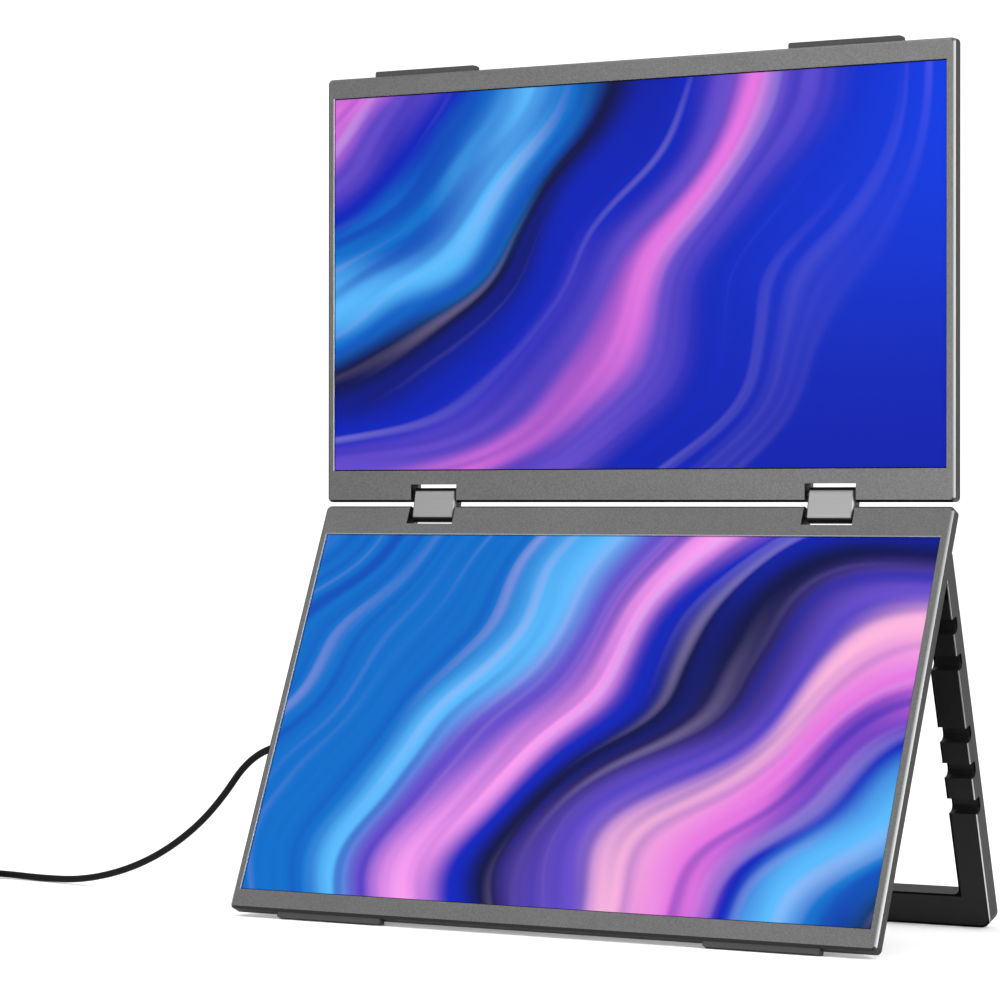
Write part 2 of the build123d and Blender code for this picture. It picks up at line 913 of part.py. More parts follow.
def stand_pads():
    """Rubber pads under the foot bar, level with the table at the standing angle."""
    rise = 2 * pad_half * tan(radians(stand_tilt))
    section = Polygon(
        (-pad_half, -leg_len),
        (pad_half, -leg_len),
        (pad_half, -leg_len - pad_t - rise),
        (-pad_half, -leg_len - pad_t),
        align=None,
    )
    pads = [along_x(section, -pad_x1, -pad_x0), along_x(section, pad_x0, pad_x1)]
    return group(pads)


# Places of the two screens, the link and the stand in one frame:
# X across, Y back, Z up, with the upper screen's front hinge edge on the X axis

half_lean = radians(lean / 2)
upper_axis = (axis_back, axis_in)
lower_axis = (axis_back - axis_gap * sin(half_lean), axis_in - axis_gap * cos(half_lean))
lower_origin = (
    lower_axis[0] + axis_in * lean_sin - axis_back * lean_cos,
    lower_axis[1] + axis_in * lean_cos + axis_back * lean_sin,
)


def on_lower(s, back):
    """Y and Z of a point of the lower screen, by distance from its hinge edge and front face."""
    y = lower_origin[0] - s * lean_sin + back * lean_cos
    return y, lower_origin[1] - s * lean_cos - back * lean_sin


floor_z = on_lower(monitor_h + strip_h, strip_back - strip_flat * lean_cos)[1]
stand_axis = on_lower(stand_axis_s, stand_axis_y)

# The legs are as long as it takes for the pads to reach the table at the standing angle
stand_sin = sin(radians(stand_tilt))
stand_cos = cos(radians(stand_tilt))
leg_len = (stand_axis[1] - floor_z - pad_half * stand_sin) / stand_cos - pad_t

turned_over = Location((0, 0, 0), (0, 180, 0))
lower_place = Location((0, lower_origin[0], lower_origin[1]), (-lean, 0, 0)) * turned_over
link_y = (upper_axis[0] + lower_axis[0]) / 2
link_z = (upper_axis[1] + lower_axis[1]) / 2
link_place = Location((0, link_y, link_z), (-lean / 2, 0, 0))
stand_place = Location((0, stand_axis[0], stand_axis[1]), (stand_tilt, 0, 0))

# Cable: plugs at both ends, a free lead and a coil put away on the table


def plug_shell():
    """Metal tongue of a plug, drawn along X from the grip's face, hollow at its far end."""
    plane = Plane((0, 0, 0), x_dir=(0, 0, 1), z_dir=(-1, 0, 0))
    shell = extrude(plane * RectangleRounded(plug_w, plug_h, plug_h / 2 - 0.02), plug_in)
    hollow_h = plug_h - 2 * plug_wall
    far = Plane((-1, 0, 0), x_dir=(0, 0, 1), z_dir=(-1, 0, 0))
    hollow = RectangleRounded(plug_w - 2 * plug_wall, hollow_h, hollow_h / 2 - 0.02)
    return shell - extrude(far * hollow, plug_in)


def plug_grip():
    """Moulded grip of a plug, along X."""
    grip = block(0, grip_len, -grip_h / 2, grip_h / 2, -grip_w / 2, grip_w / 2)
    grip = fillet(grip.edges().filter_by(Axis.X), grip_round)
    return chamfer(grip.faces().sort_by(Axis.X)[-1].edges(), grip_bevel)


def plug_relief():
    """Tapered strain relief behind a grip."""
    start = Plane((grip_len, 0, 0), x_dir=(0, 1, 0), z_dir=(1, 0, 0))
    end = Plane((grip_len + relief_len, 0, 0), x_dir=(0, 1, 0), z_dir=(1, 0, 0))
    return loft([start * Circle(relief_d / 2), end * Circle(cable_d / 2 + relief_lip)])


def corner_radii(points):
    """Largest tangent arc at each corner that its shorter run allows."""
    radii = []
    for before, here, after in zip(points, points[1:], points[2:]):
        run_in = Vector(*here) - Vector(*before)
        run_out = Vector(*after) - Vector(*here)
        turn = run_in.get_angle(run_out)
        short = min(run_in.length, run_out.length)
        radii.append(0.45 * short / tan(radians(turn / 2)))
    return radii


def tube_along(name, points):
    """Round cable along straight runs and tangent arcs, checked by its volume."""
    radii = corner_radii(points)
    path = FilletPolyline(*points, radius=radii)
    start = Plane(origin=path @ 0, z_dir=path % 0)
    tube = sweep(start * Circle(cable_d / 2), path=path)
    share = tube.volume / (pi * cable_d**2 / 4 * path.length)
    print(name, "radii", [round(r) for r in radii])
    print(name, "length", round(path.length, 1), "volume share", round(share, 4))
    return tube, path.length


port_world_y, port_world_z = on_lower(port_video_s, port_y)
grip_face_x = -(box_half_w + grip_port_gap)
lead_x = grip_face_x - grip_len - relief_len
table_z = floor_z + cable_d / 2
coil_x = lead_x - 227.2
coil_y = -coil_r
coil_z = table_z + tie_t
lead_points = [
    (lead_x, port_world_y, port_world_z),
    (lead_x - 17.2, port_world_y, port_world_z),
    (lead_x - 39.2, -33.0, table_z + 65.8),
    (lead_x - 58.7, -28.0, table_z + 44.8),
    (lead_x - 77.2, -24.0, table_z + 29.8),
    (lead_x - 101.2, -18.7, table_z + 16.3),
    (lead_x - 127.2, -13.0, table_z + 6.8),
    (lead_x - 155.2, -7.0, table_z + 1.0),
    (lead_x - 181.2, -2.5, table_z),
    (lead_x - 205.2, 0.0, coil_z),
    (coil_x + cable_d, 0.0, coil_z),
]


def coil_radius(turns):
    """Spiral in, then out again one layer higher."""
    inner = coil_r - coil_pitch * turns_in
    if turns <= turns_in:
        return coil_r - coil_pitch * turns
    if turns <= turns_in + turns_climb:
        dip = sin(pi * (turns - turns_in) / turns_climb)
        return inner - dip * coil_pitch * turns_climb / pi
    return inner + coil_pitch * (turns - turns_in - turns_climb)


def coil_height(turns):
    """Flat in each layer, with one smooth climb between them."""
    if turns <= turns_in:
        return 0.0
    if turns >= turns_in + turns_climb:
        return layer_step
    return layer_step * (1 - cos(pi * (turns - turns_in) / turns_climb)) / 2


def coil_point(turns):
    """Point of the coil after a number of turns, counter-clockwise from its far side."""
    angle = pi / 2 + 2 * pi * turns
    r = coil_radius(turns)
    return Vector(coil_x + r * cos(angle), coil_y + r * sin(angle), coil_z + coil_height(turns))


def coil_heading(turns):
    """Direction of the coil after a number of turns."""
    small = 0.001
    return (coil_point(turns + small) - coil_point(turns - small)).normalized()


def two_arcs(p0, t0, p1, t1):
    """Two tangent arcs from one point and heading to another."""
    across = p1 - p0
    both = t0 + t1
    spare = 2 * (1 - t0.dot(t1))
    reach = -across.dot(both)
    d = (reach + sqrt(reach**2 + spare * across.dot(across))) / spare
    q0 = p0 + t0 * d
    q1 = p1 - t1 * d
    middle = (q0 + q1) * 0.5
    first = TangentArc(p0, middle, tangent=t0)
    second = TangentArc(middle, p1, tangent=(q1 - q0).normalized())
    return [first, second]


def cable_coil():
    """Coil of the unseen length: one unbroken tube in two layers."""
    total = turns_in + turns_climb + turns_out
    steps = round(total * 4)
    marks = [step / 4 for step in range(steps + 1)]
    headings = [coil_heading(mark) for mark in marks]
    headings[0] = Vector(-1, 0, 0)
    start = Vector(coil_x + cable_d, 0, coil_z)
    end = coil_point(total)
    arcs = [Line(start, coil_point(0))]
    for index in range(steps):
        p0, p1 = coil_point(marks[index]), coil_point(marks[index + 1])
        arcs += two_arcs(p0, headings[index], p1, headings[index + 1])
    finish = end + headings[-1] * cable_d
    arcs.append(Line(end, finish))
    path = Wire(arcs)
    section = Plane(origin=start, z_dir=headings[0]) * Circle(cable_d / 2)
    coil = sweep(section, path=path)
    samples = [path @ (k / 900) for k in range(901)]
    reach = path.length / 900
    least = min(
        (samples[i] - samples[j]).length
        for i in range(len(samples))
        for j in range(i + int(3 * cable_d / reach), len(samples))
    )
    share = coil.volume / (pi * cable_d**2 / 4 * path.length)
    print("coil least gap", round(least - cable_d, 2), "length", round(path.length), "share", round(share, 4))
    return coil, finish, headings[-1], path.length


def cable_tie():
    """Flat strap round the bundle, on the side of the coil that faces the object."""
    total = turns_in + turns_climb + turns_out
    marks = [tie_turn + k for k in range(int(total))]
    radii = [coil_radius(mark) for mark in marks]
    low = sqrt((min(radii) - cable_d / 2) ** 2 - tie_w**2 / 4) - tie_gap
    high = max(radii) + cable_d / 2 + tie_gap
    top = layer_step + cable_d / 2 + tie_gap
    bottom = -cable_d / 2
    angle = 90 + 360 * tie_turn
    outer = block(low - tie_t, high + tie_t, -tie_w / 2, tie_w / 2, bottom - tie_t, top + tie_t)
    strap = outer - block(low, high, -tie_w, tie_w, bottom, top)
    return Location((coil_x, coil_y, coil_z), (0, 0, angle)) * strap


def far_end(finish, heading):
    """Tail from the coil to the second plug, which lies on the table."""
    far_z = floor_z + grip_h / 2
    ahead = Vector(heading.X, heading.Y, 0).normalized()
    drop = Vector(0, 0, far_z - finish.Z)
    points = [finish, finish + ahead * 11, finish + ahead * 25 + drop, finish + ahead * 36 + drop]
    tail, length = tube_along("tail", [tuple(p) for p in points])
    turn = degrees(atan2(-ahead.Y, -ahead.X))
    tip = points[-1] + ahead * (relief_len + grip_len)
    place = Location(tuple(tip), (0, 0, turn)) * Location((0, 0, 0), (90, 0, 0))
    return tail, place, length


# All nodes, placed in one frame

glass, guide, tray = display_panel()
board = timing_board()
upper = {
    "upper_front_frame": front_frame(notch_depth_upper),
    "upper_rear_cover": rear_cover(notch_depth_upper),
    "upper_display_glass": glass,
    "upper_light_guide": guide,
    "upper_panel_tray": tray,
    "upper_driver_board": board,
    "upper_hinge_brackets": hinge_brackets(),
    "upper_bracket_screws": bracket_screws(),
    "upper_hinge_shafts": hinge_shafts(),
    "upper_foot_strips": foot_strips(),
}
lower = {
    "lower_front_frame": front_frame(notch_depth_lower),
    "lower_rear_cover": lower_rear_cover(),
    "lower_display_glass": glass,
    "lower_light_guide": guide,
    "lower_panel_tray": tray,
    "lower_driver_board": board,
    "lower_hinge_brackets": upper["upper_hinge_brackets"],
    "lower_bracket_screws": upper["upper_bracket_screws"],
    "lower_hinge_shafts": upper["upper_hinge_shafts"],
    "lower_foot_strips": upper["upper_foot_strips"],
    "lower_display_cable": display_cable(),
    "controller_cover": controller_cover(),
    "controller_cover_screws": cover_screws(),
    "controller_board": main_board(),
    "controller_board_screws": board_screws(),
    "controller_chips": board_chips(),
    "usb_c_sockets": usb_sockets(),
    "mini_hdmi_socket": hdmi_socket(),
    "audio_jack": audio_jack(),
    "speakers": speakers(),
    "switch_board": switch_board(),
    "push_switches": switches(),
    "stand_brackets": stand_brackets(),
}
for name, s in button_s.items():
    lower[name] = button(s)
links = {
    "hinge_links": [hinge_link()],
    "hinge_caps": [hinge_cap()],
    "friction_clips": friction_clips(),
}
stand = {
    "stand_frame": stand_frame(),
    "stand_liner": stand_liner(),
    "stand_pins": stand_pins(),
    "stand_pads": stand_pads(),
}

parts = dict(upper)
for name, shape in lower.items():
    parts[name] = lower_place * shape
for name, shapes in links.items():
    parts[name] = group([Pos(x, 0, 0) * link_place * one for x in (-hinge_x, hinge_x) for one in shapes])
for name, shape in stand.items():
    parts[name] = stand_place * shape

body_box = group(parts.values()).bounding_box()
to_table = Vector(-body_box.center().X, -body_box.center().Y, -body_box.min.Z)

plug_place = lower_place * Pos(box_half_w + grip_port_gap, port_y, port_video_s)
lead, lead_length = tube_along("lead", lead_points)
coil, coil_end, coil_end_heading, coil_length = cable_coil()
tail, far_place, tail_length = far_end(coil_end, coil_end_heading)
cords = {
    "cable_plug": plug_place * plug_shell(),
    "cable_grip": plug_place * plug_grip(),
    "cable_strain_relief": plug_place * plug_relief(),
    "cable_lead": lead,
    "cable_coil": coil,
    "cable_tie": cable_tie(),
    "cable_tail": tail,
    "far_plug": far_place * plug_shell(),
    "far_grip": far_place * plug_grip(),
    "far_strain_relief": far_place * plug_relief(),
}
parts.update(cords)
print("cable length", round(lead_length + coil_length + tail_length))
print("leg length", round(leg_len, 2))

os.makedirs("parts", exist_ok=True)
for name, shape in parts.items():
    placed = Pos(*to_table) * group([shape])
    export_step(placed if len(placed.solids()) > 1 else placed.solids()[0], f"parts/{name}.step")
print("nodes", len(parts), "moved by", to_table, "size", body_box.size)
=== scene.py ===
import json
import math

import bmesh
import bpy
import numpy as np
from mathutils import Matrix, Vector


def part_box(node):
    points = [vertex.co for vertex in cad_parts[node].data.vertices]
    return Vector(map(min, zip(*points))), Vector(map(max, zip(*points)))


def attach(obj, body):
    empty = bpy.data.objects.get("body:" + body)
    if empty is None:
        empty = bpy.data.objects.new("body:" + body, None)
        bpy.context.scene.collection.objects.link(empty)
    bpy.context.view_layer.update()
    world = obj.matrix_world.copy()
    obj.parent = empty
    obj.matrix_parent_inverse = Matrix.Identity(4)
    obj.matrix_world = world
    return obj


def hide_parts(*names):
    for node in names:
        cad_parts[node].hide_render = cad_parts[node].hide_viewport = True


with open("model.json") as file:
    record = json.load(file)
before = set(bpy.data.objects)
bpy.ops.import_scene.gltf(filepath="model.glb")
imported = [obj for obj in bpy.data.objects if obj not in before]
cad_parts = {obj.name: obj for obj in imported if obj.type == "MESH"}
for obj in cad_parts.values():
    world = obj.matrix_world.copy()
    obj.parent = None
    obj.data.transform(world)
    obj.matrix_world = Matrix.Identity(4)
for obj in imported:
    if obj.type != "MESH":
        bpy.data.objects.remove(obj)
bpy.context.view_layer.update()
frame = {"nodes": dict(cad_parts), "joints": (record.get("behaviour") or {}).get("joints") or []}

bl_info = {
    "name": "Dual portable monitor",
    "version": (1, 0, 0),
    "blender": (4, 5, 0),
    "location": "3D View > Sidebar > Monitor",
    "description": "Dresses the packed two-screen monitor: finishes, pictures, hinges, stand and cable",
    "category": "Object",
}

# Metres and radians. X runs across, Y back and Z up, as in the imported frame.

JOINT_PLACES = {joint["name"]: joint["pos_m"] for joint in frame["joints"] if "pos_m" in joint}

# Hinge notches of the screens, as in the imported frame, with a little room
HINGE_X, NOTCH_HALF, NOTCH_DEPTH = 0.1003, 0.0124, 0.0093

# Picture opening of the screens: half width, middle and half height, with a little room, and that room
OPENING_HALF, OPENING_MIDDLE, OPENING_REACH = 0.1549, 0.10155, 0.0872
OPENING_ROOM = 0.0002

# Bevel of the screens' sides: where it starts and ends across. The side bevels are painted lighter than those
# at the top and bottom, a painted highlight and painted shade.
BEVEL_SPAN = (0.1574, 0.1584)

# Painted highlight line on the front along the inner edge of the left bezel: where it starts and ends across,
# and how bright it is
OPENING_EDGE, EDGE_LIGHT = (0.15485, 0.15515), 0.4

# Fainter painted highlight line on the front along the top edge of the lower opening, under the hinges: where
# it starts and ends along, and how bright it is
OPENING_TOP, TOP_LIGHT = (0.0141, 0.0144), 0.2

# Margin round the lit pictures: where the dark ends and the full light begins, and the same at an edge beside
# a painted highlight line
DARK_MARGIN, HIGHLIGHT_MARGIN = (0.0004, 0.0007), (0.0, 0.0003)

# Stand: where the bare rim of its outer walls begins, how softly, and how far its front plane reaches back.
# The rim's brightness is partly a painted highlight.
STAND_RIM_X, STAND_RIM_BLUR, STAND_FRONT = 0.1544, 0.00005, 0.0006

# Copies of frame nodes: corners nearer than this are joined, flatter edges go and sharper ones are rounded
JOIN_WITHIN, FLAT_EDGE, SHARP_EDGE = 1e-6, math.radians(0.5), math.radians(32.0)

# Number that a face carries for its finish, painted shade and highlights included: its name, and the cosines
# of the turn from the front down to which a face counts as the front and down to which it is a bevel, past
# which it is a wall
FACE_KIND, FRONT_TURN, BEVEL_TURN = "Face kind", 0.95, 0.3

# Scale of the slow unevenness of paints and plastics
BROAD_WEAR = 28.0

# Screws of the controller housing: places across and from the hinge edge, then depths and radii
SCREW_X, SCREW_S = (-0.1035, 0.1035), (0.045, 0.156)
SCREW_TIP, SCREW_NECK, SCREW_TOP = 0.008, 0.0167, 0.0177
SCREW_R, SCREW_HEAD_R = 0.001, 0.0021

# Cross recess of a screw: half width and reach of an arm, width of its soft side, and depth
ARM_HALF, ARM_REACH, ARM_SIDE, ARM_DEPTH = 0.0003, 0.0012, 0.0001, 0.0005

# Ribbed sleeve of the cable: length, radius at the jacket and at the grip, and depth of a groove
SLEEVE_LENGTH, SLEEVE_THIN, SLEEVE_THICK, GROOVE_DEPTH = 0.0086, 0.0019, 0.0023, 0.00024

# Free run of the cable from its strain relief to the coil, point by point. The second point keeps it
# straight through the notch of the stand's leg.
LEAD_ROUTE = [
    (-0.1408, -0.02426, 0.07547),
    (-0.1565, -0.02426, 0.07547),
    (-0.158, -0.02426, 0.07547),
    (-0.18, -0.02146, 0.06745),
    (-0.1995, -0.01646, 0.04645),
    (-0.218, -0.01246, 0.03145),
    (-0.242, -0.00716, 0.01795),
    (-0.268, -0.00146, 0.00845),
    (-0.296, 0.00454, 0.00265),
    (-0.322, 0.00904, 0.00165),
    (-0.346, 0.01154, 0.00225),
]


# Sizes and colours that a user would change


class StudioSettings(bpy.types.PropertyGroup):
    lens: bpy.props.FloatProperty(
        name="Lens", description="Focal length on a 36 mm sensor", default=131.26, unit="CAMERA"
    )
    camera_place: bpy.props.FloatVectorProperty(
        name="Camera place", description="Where the camera stands", default=(0.772, -1.4213, 0.1838),
        subtype="TRANSLATION", unit="LENGTH",
    )
    camera_turn: bpy.props.FloatProperty(
        name="Camera turn", description="Heading to the left of straight ahead",
        default=math.radians(30.288), subtype="ANGLE",
    )
    camera_rise: bpy.props.FloatProperty(
        name="Camera rise", description="Upward tilt", default=math.radians(0.107), subtype="ANGLE"
    )
    camera_roll: bpy.props.FloatProperty(
        name="Camera roll", description="Turn about the line of sight",
        default=math.radians(0.044), subtype="ANGLE",
    )
    floor_colour: bpy.props.FloatVectorProperty(
        name="Floor colour", description="Colour of the seamless floor and backdrop",
        default=(0.97, 0.97, 0.97), subtype="COLOR",
    )
    world_strength: bpy.props.FloatProperty(
        name="World strength", description="Brightness of the white surroundings", default=1.02
    )
    key_power: bpy.props.FloatProperty(
        name="Key power", description="Power of the soft light in front of the screens",
        default=17.0, unit="POWER",
    )
    strip_power: bpy.props.FloatProperty(
        name="Strip power", description="Power of the tall narrow light at the right, mirrored by the bevels",
        default=26.0, unit="POWER",
    )


class CableSettings(bpy.types.PropertyGroup):
    diameter: bpy.props.FloatProperty(
        name="Diameter", description="Outer diameter of the jacket", default=0.0033, unit="LENGTH"
    )
    length: bpy.props.FloatProperty(
        name="Length", description="Length of jacket between the two strain reliefs",
        default=0.992, unit="LENGTH",
    )
    coil_centre: bpy.props.FloatVectorProperty(
        name="Coil centre", description="Middle of the coil, at the height of its lower layer",
        default=(-0.368, -0.01286, 0.00225), subtype="TRANSLATION", unit="LENGTH",
    )
    coil_radius: bpy.props.FloatProperty(
        name="Coil radius", description="Radius of the widest turn", default=0.0244, unit="LENGTH"
    )
    coil_pitch: bpy.props.FloatProperty(
        name="Coil pitch", description="Distance between turns and between layers",
        default=0.0039, unit="LENGTH",
    )
    jacket_colour: bpy.props.FloatVectorProperty(
        name="Jacket colour", description="Colour of the cable jacket",
        default=(0.004, 0.004, 0.0043), subtype="COLOR",
    )


class ScreenSettings(bpy.types.PropertyGroup):
    picture_width: bpy.props.FloatProperty(
        name="Picture width", description="Lit width of each screen", default=0.3094, unit="LENGTH"
    )
    picture_height: bpy.props.FloatProperty(
        name="Picture height", description="Lit height of each screen", default=0.174, unit="LENGTH"
    )
    picture_rise: bpy.props.FloatProperty(
        name="Picture rise", description="From the hinge edge to the lit area",
        default=0.01455, unit="LENGTH",
    )
    axis_in: bpy.props.FloatProperty(
        name="Axis inset", description="Hinge axis above the hinge edge", default=0.0033, unit="LENGTH"
    )
    axis_back: bpy.props.FloatProperty(
        name="Axis depth", description="Hinge axis behind the front face", default=0.0041, unit="LENGTH"
    )
    lean: bpy.props.FloatProperty(
        name="Lean", description="How far the lower screen leans back",
        default=math.radians(24.0), subtype="ANGLE",
    )
    brightness: bpy.props.FloatProperty(
        name="Brightness", description="Emission strength of the lit pictures", default=1.0
    )


class FinishSettings(bpy.types.PropertyGroup):
    paint_colour: bpy.props.FloatVectorProperty(
        name="Housing paint", description="Colour of the fine metallic paint",
        default=(0.076, 0.076, 0.0765), subtype="COLOR",
    )
    # Painted shade: the housing paint made darker, for the side walls of the screens and of the stand
    shaded_wall_colour: bpy.props.FloatVectorProperty(
        name="Wall paint", description="Colour of the side walls and of the stand",
        default=(0.009, 0.009, 0.0092), subtype="COLOR",
    )
    # Bare metal of the stand's front rim and of the picture openings' walls, and the colour of the painted
    # highlight lines on the bezels; the rim's brightness is partly a painted highlight
    rim_and_highlight_colour: bpy.props.FloatVectorProperty(
        name="Rim metal", description="Colour of the bare front rim of the stand",
        default=(0.7, 0.7, 0.7), subtype="COLOR",
    )
    # Bare bevel metal; it is painted lighter on the side bevels and darker at the top and bottom, as painted
    # highlight and shade
    edge_colour: bpy.props.FloatVectorProperty(
        name="Bevel metal", description="Colour of the bare bevelled edges",
        default=(0.045, 0.045, 0.0455), subtype="COLOR",
    )
    cap_colour: bpy.props.FloatVectorProperty(
        name="Hinge cap metal", description="Colour of the hinge cover plates",
        default=(0.175, 0.175, 0.177), subtype="COLOR",
    )
    rubber_colour: bpy.props.FloatVectorProperty(
        name="Rubber", description="Colour of the foot strips",
        default=(0.024, 0.024, 0.024), subtype="COLOR",
    )
    stand_tilt: bpy.props.FloatProperty(
        name="Stand tilt", description="Lean of the standing legs from upright",
        default=math.radians(17.66), subtype="ANGLE",
    )
    edge_softness: bpy.props.FloatProperty(
        name="Edge softness", description="Width of the small round on housing edges",
        default=0.00025, unit="LENGTH",
    )


# Shader building


class Value:
    """A number socket that takes part in Python arithmetic; each operation adds one Math node."""

    def __init__(self, finish, socket):
        self.finish = finish
        self.socket = socket

    def math(self, operation, *others):
        return self.finish.node("ShaderNodeMath", {"operation": operation}, enumerate((self, *others)))

    def __add__(self, other):
        return self.math("ADD", other)

    def __sub__(self, other):
        return self.math("SUBTRACT", other)

    def __mul__(self, other):
        return self.math("MULTIPLY", other)

    def __neg__(self):
        return self.math("MULTIPLY", -1.0)

    def __rsub__(self, other):
        return (-self).math("ADD", other)

    __radd__ = __add__
    __rmul__ = __mul__

    def smooth(self, low, high):
        """0 below low, 1 above high, eased between them."""
        settings = {"interpolation_type": "SMOOTHSTEP"}
        return self.finish.node("ShaderNodeMapRange", settings, {0: self, 1: low, 2: high})

    def between(self, low, high):
        """1 between low and high, 0 elsewhere."""
        return self.math("GREATER_THAN", low) * self.math("LESS_THAN", high)


class Finish:
    """One material with its principled shader, whose sockets hold what is the same all over the surface."""

    def __init__(self, name, **constants):
        self.material = bpy.data.materials.new(name)
        self.material.use_nodes = True
        self.tree = self.material.node_tree
        self.shader = self.tree.nodes["Principled BSDF"]
        for socket, value in constants.items():
            value = (*value, 1.0) if hasattr(value, "__len__") else value
            self.shader.inputs[socket.replace("_", " ")].default_value = value
        self.place = self.node("ShaderNodeTexCoord", output="Object")

    def node(self, kind, settings=(), inputs=(), output=0):
        """Adds a node, sets it up, feeds its sockets with numbers or links, and returns one output."""
        made = self.tree.nodes.new(kind)
        for name, value in dict(settings).items():
            if name == "stops":
                ramp = made.color_ramp
                ramp.interpolation = "EASE"
                while len(ramp.elements) < len(value):
                    ramp.elements.new(1.0)
                for element, (position, colour) in zip(ramp.elements, value):
                    element.position = position
                    element.color = (*colour, 1.0)
            else:
                setattr(made, name, value)
        for key, value in dict(inputs).items():
            if isinstance(value, Value):
                self.tree.links.new(value.socket, made.inputs[key])
            else:
                made.inputs[key].default_value = value
        return Value(self, made.outputs[output])

    def feed(self, socket, value):
        """Links a value to a socket of the principled shader."""
        self.tree.links.new(value.socket, self.shader.inputs[socket])

    def point(self, x=0.0, y=0.0, z=0.0):
        """A place made of three numbers."""
        return self.node("ShaderNodeCombineXYZ", {}, {0: x, 1: y, 2: z})

    def mix(self, factor, first, second):
        """Blends two colours, each a triple or a link."""
        inputs = {0: factor}
        for key, colour in ((6, first), (7, second)):
            inputs[key] = colour if isinstance(colour, Value) else (*colour, 1.0)
        return self.node("ShaderNodeMix", {"data_type": "RGBA"}, inputs, output=2)

    def noise(self, scale, detail=2.0, roughness=0.5, place=None, stretch=None):
        """Even noise from 0 to 1, on the piece's own coordinates."""
        where = place or self.place
        if stretch:
            where = self.node("ShaderNodeMapping", {}, {"Vector": where, "Scale": stretch})
        inputs = {"Vector": where, "Scale": scale, "Detail": detail, "Roughness": roughness}
        return self.node("ShaderNodeTexNoise", {}, inputs)

    def axes(self, place=None):
        """The three coordinates of a point as separate numbers."""
        split = self.node("ShaderNodeSeparateXYZ", {}, {0: place or self.place})
        return [Value(self, output) for output in split.socket.node.outputs]

    def bump(self, height, strength, distance):
        """Raises the surface by a height value."""
        inputs = {"Height": height, "Strength": strength, "Distance": distance}
        self.feed("Normal", self.node("ShaderNodeBump", {}, inputs))

    def face_kind(self):
        """The number that each face of the piece carries."""
        return self.node("ShaderNodeAttribute", {"attribute_name": FACE_KIND}, output="Fac")

    def speckle(self, grain, roughness):
        """Fine grains, slow unevenness, and a tone from 0 to 1 that is mostly the grains."""
        fine = self.noise(grain, 2.0, roughness)
        broad = self.noise(BROAD_WEAR, 2.0)
        return fine, broad, fine.smooth(0.3, 0.7) * 0.8 + broad.smooth(0.3, 0.7) * 0.2


def scaled(colour, factor):
    """A colour made lighter or darker."""
    return tuple(min(1.0, part * factor) for part in colour)


def grain_finish(name, colour, grain, spread, roughness, depth, **constants):
    """Painted or moulded surface: fine grains that vary in tone and height, and slow uneven wear."""
    finish = Finish(name, **constants)
    fine, broad, tone = finish.speckle(grain, 0.6)
    finish.feed("Base Color", finish.mix(tone, scaled(colour, 1 - spread), scaled(colour, 1 + spread)))
    finish.feed("Roughness", broad * 0.08 + (roughness - 0.04))
    finish.bump(fine, 0.35, depth)
    return finish.material


def frame_paint(name, place):
    """Fine-blasted paint with bare bevels: grey front, mirror-like bevel, dark wall and black notch.

    Each face carries its kind as a number: 0 front, 1 bevel, 2 wall, 3 and 5 black, 4 bright edge. The dark
    wall is painted shade, the paint made darker on the walls. Black is the stand's own black front and notch
    floors, and painted shade on the walls of the screens' hinge notches. The bevels of the sides are lighter
    than those at the top and bottom, a painted highlight and painted shade. The outermost strip of a face of
    kind 3 is bare and bright too, its brightness partly a painted highlight. A thin line of the front along
    the left side of the picture opening is a painted highlight, and on the lower screen a fainter one along
    its top.
    """
    settings = bpy.context.scene.monitor_finish
    finish = Finish(name, Specular_IOR_Level=0.3)
    kind = finish.face_kind()
    steps = [kind.smooth(step + 0.4, step + 0.6) for step in range(5)]
    past_front, past_bevel, past_wall, past_black, past_edge = steps
    x, y, z = finish.axes()
    across = x.math("ABSOLUTE")
    along = y * place.along[1] + z * place.along[2] - float(place.origin @ place.along)
    # The stand's bare front rim, its brightness partly a painted highlight
    rim = across.smooth(STAND_RIM_X - STAND_RIM_BLUR, STAND_RIM_X)
    beside = (along - OPENING_MIDDLE).math("ABSOLUTE").math("LESS_THAN", OPENING_REACH - OPENING_ROOM)
    # Painted highlight lines on the front: along the left side of the picture opening, and on the lower
    # screen a fainter one along its top
    bare = (-x).between(*OPENING_EDGE) * beside * EDGE_LIGHT
    if place.hangs:
        bare = bare + along.between(*OPENING_TOP) * across.math("LESS_THAN", OPENING_HALF) * TOP_LIGHT
    bright = past_black.math("MAXIMUM", past_wall * rim) * (1 - past_edge) + bare * (1 - past_front)
    bevel = past_front - past_bevel
    fine, broad, tone = finish.speckle(1500.0, 0.7)
    paint, metal, dark = settings.paint_colour, settings.edge_colour, settings.shaded_wall_colour
    front = finish.mix(tone, scaled(paint, 0.75), scaled(paint, 1.25))
    # Painted highlight and shade on the bevels: lighter along the sides, darker at the top and bottom
    edge = finish.mix(across.smooth(*BEVEL_SPAN), scaled(metal, 0.6), scaled(metal, 1.5))
    # Painted shade: the walls take the paint made darker
    wall = finish.mix(tone, scaled(dark, 0.85), scaled(dark, 1.15))
    colour = finish.mix(past_bevel, finish.mix(past_front, front, edge), wall)
    # Black from kind 3 on: the stand's own black front, and painted shade on the walls of the screens' hinge
    # notches
    colour = finish.mix(past_wall, colour, (0.003, 0.003, 0.003))
    finish.feed("Base Color", finish.mix(bright, colour, settings.rim_and_highlight_colour))
    finish.feed("Metallic", 0.55 + bevel * 0.45 - past_bevel * 0.35 + past_wall * 0.8)
    finish.feed("Roughness", broad * 0.08 + 0.4 - bevel * 0.22 + past_bevel * 0.08 - bright * 0.2)
    finish.bump(fine * (1 - bevel), 0.35, 0.00003)
    return finish.material


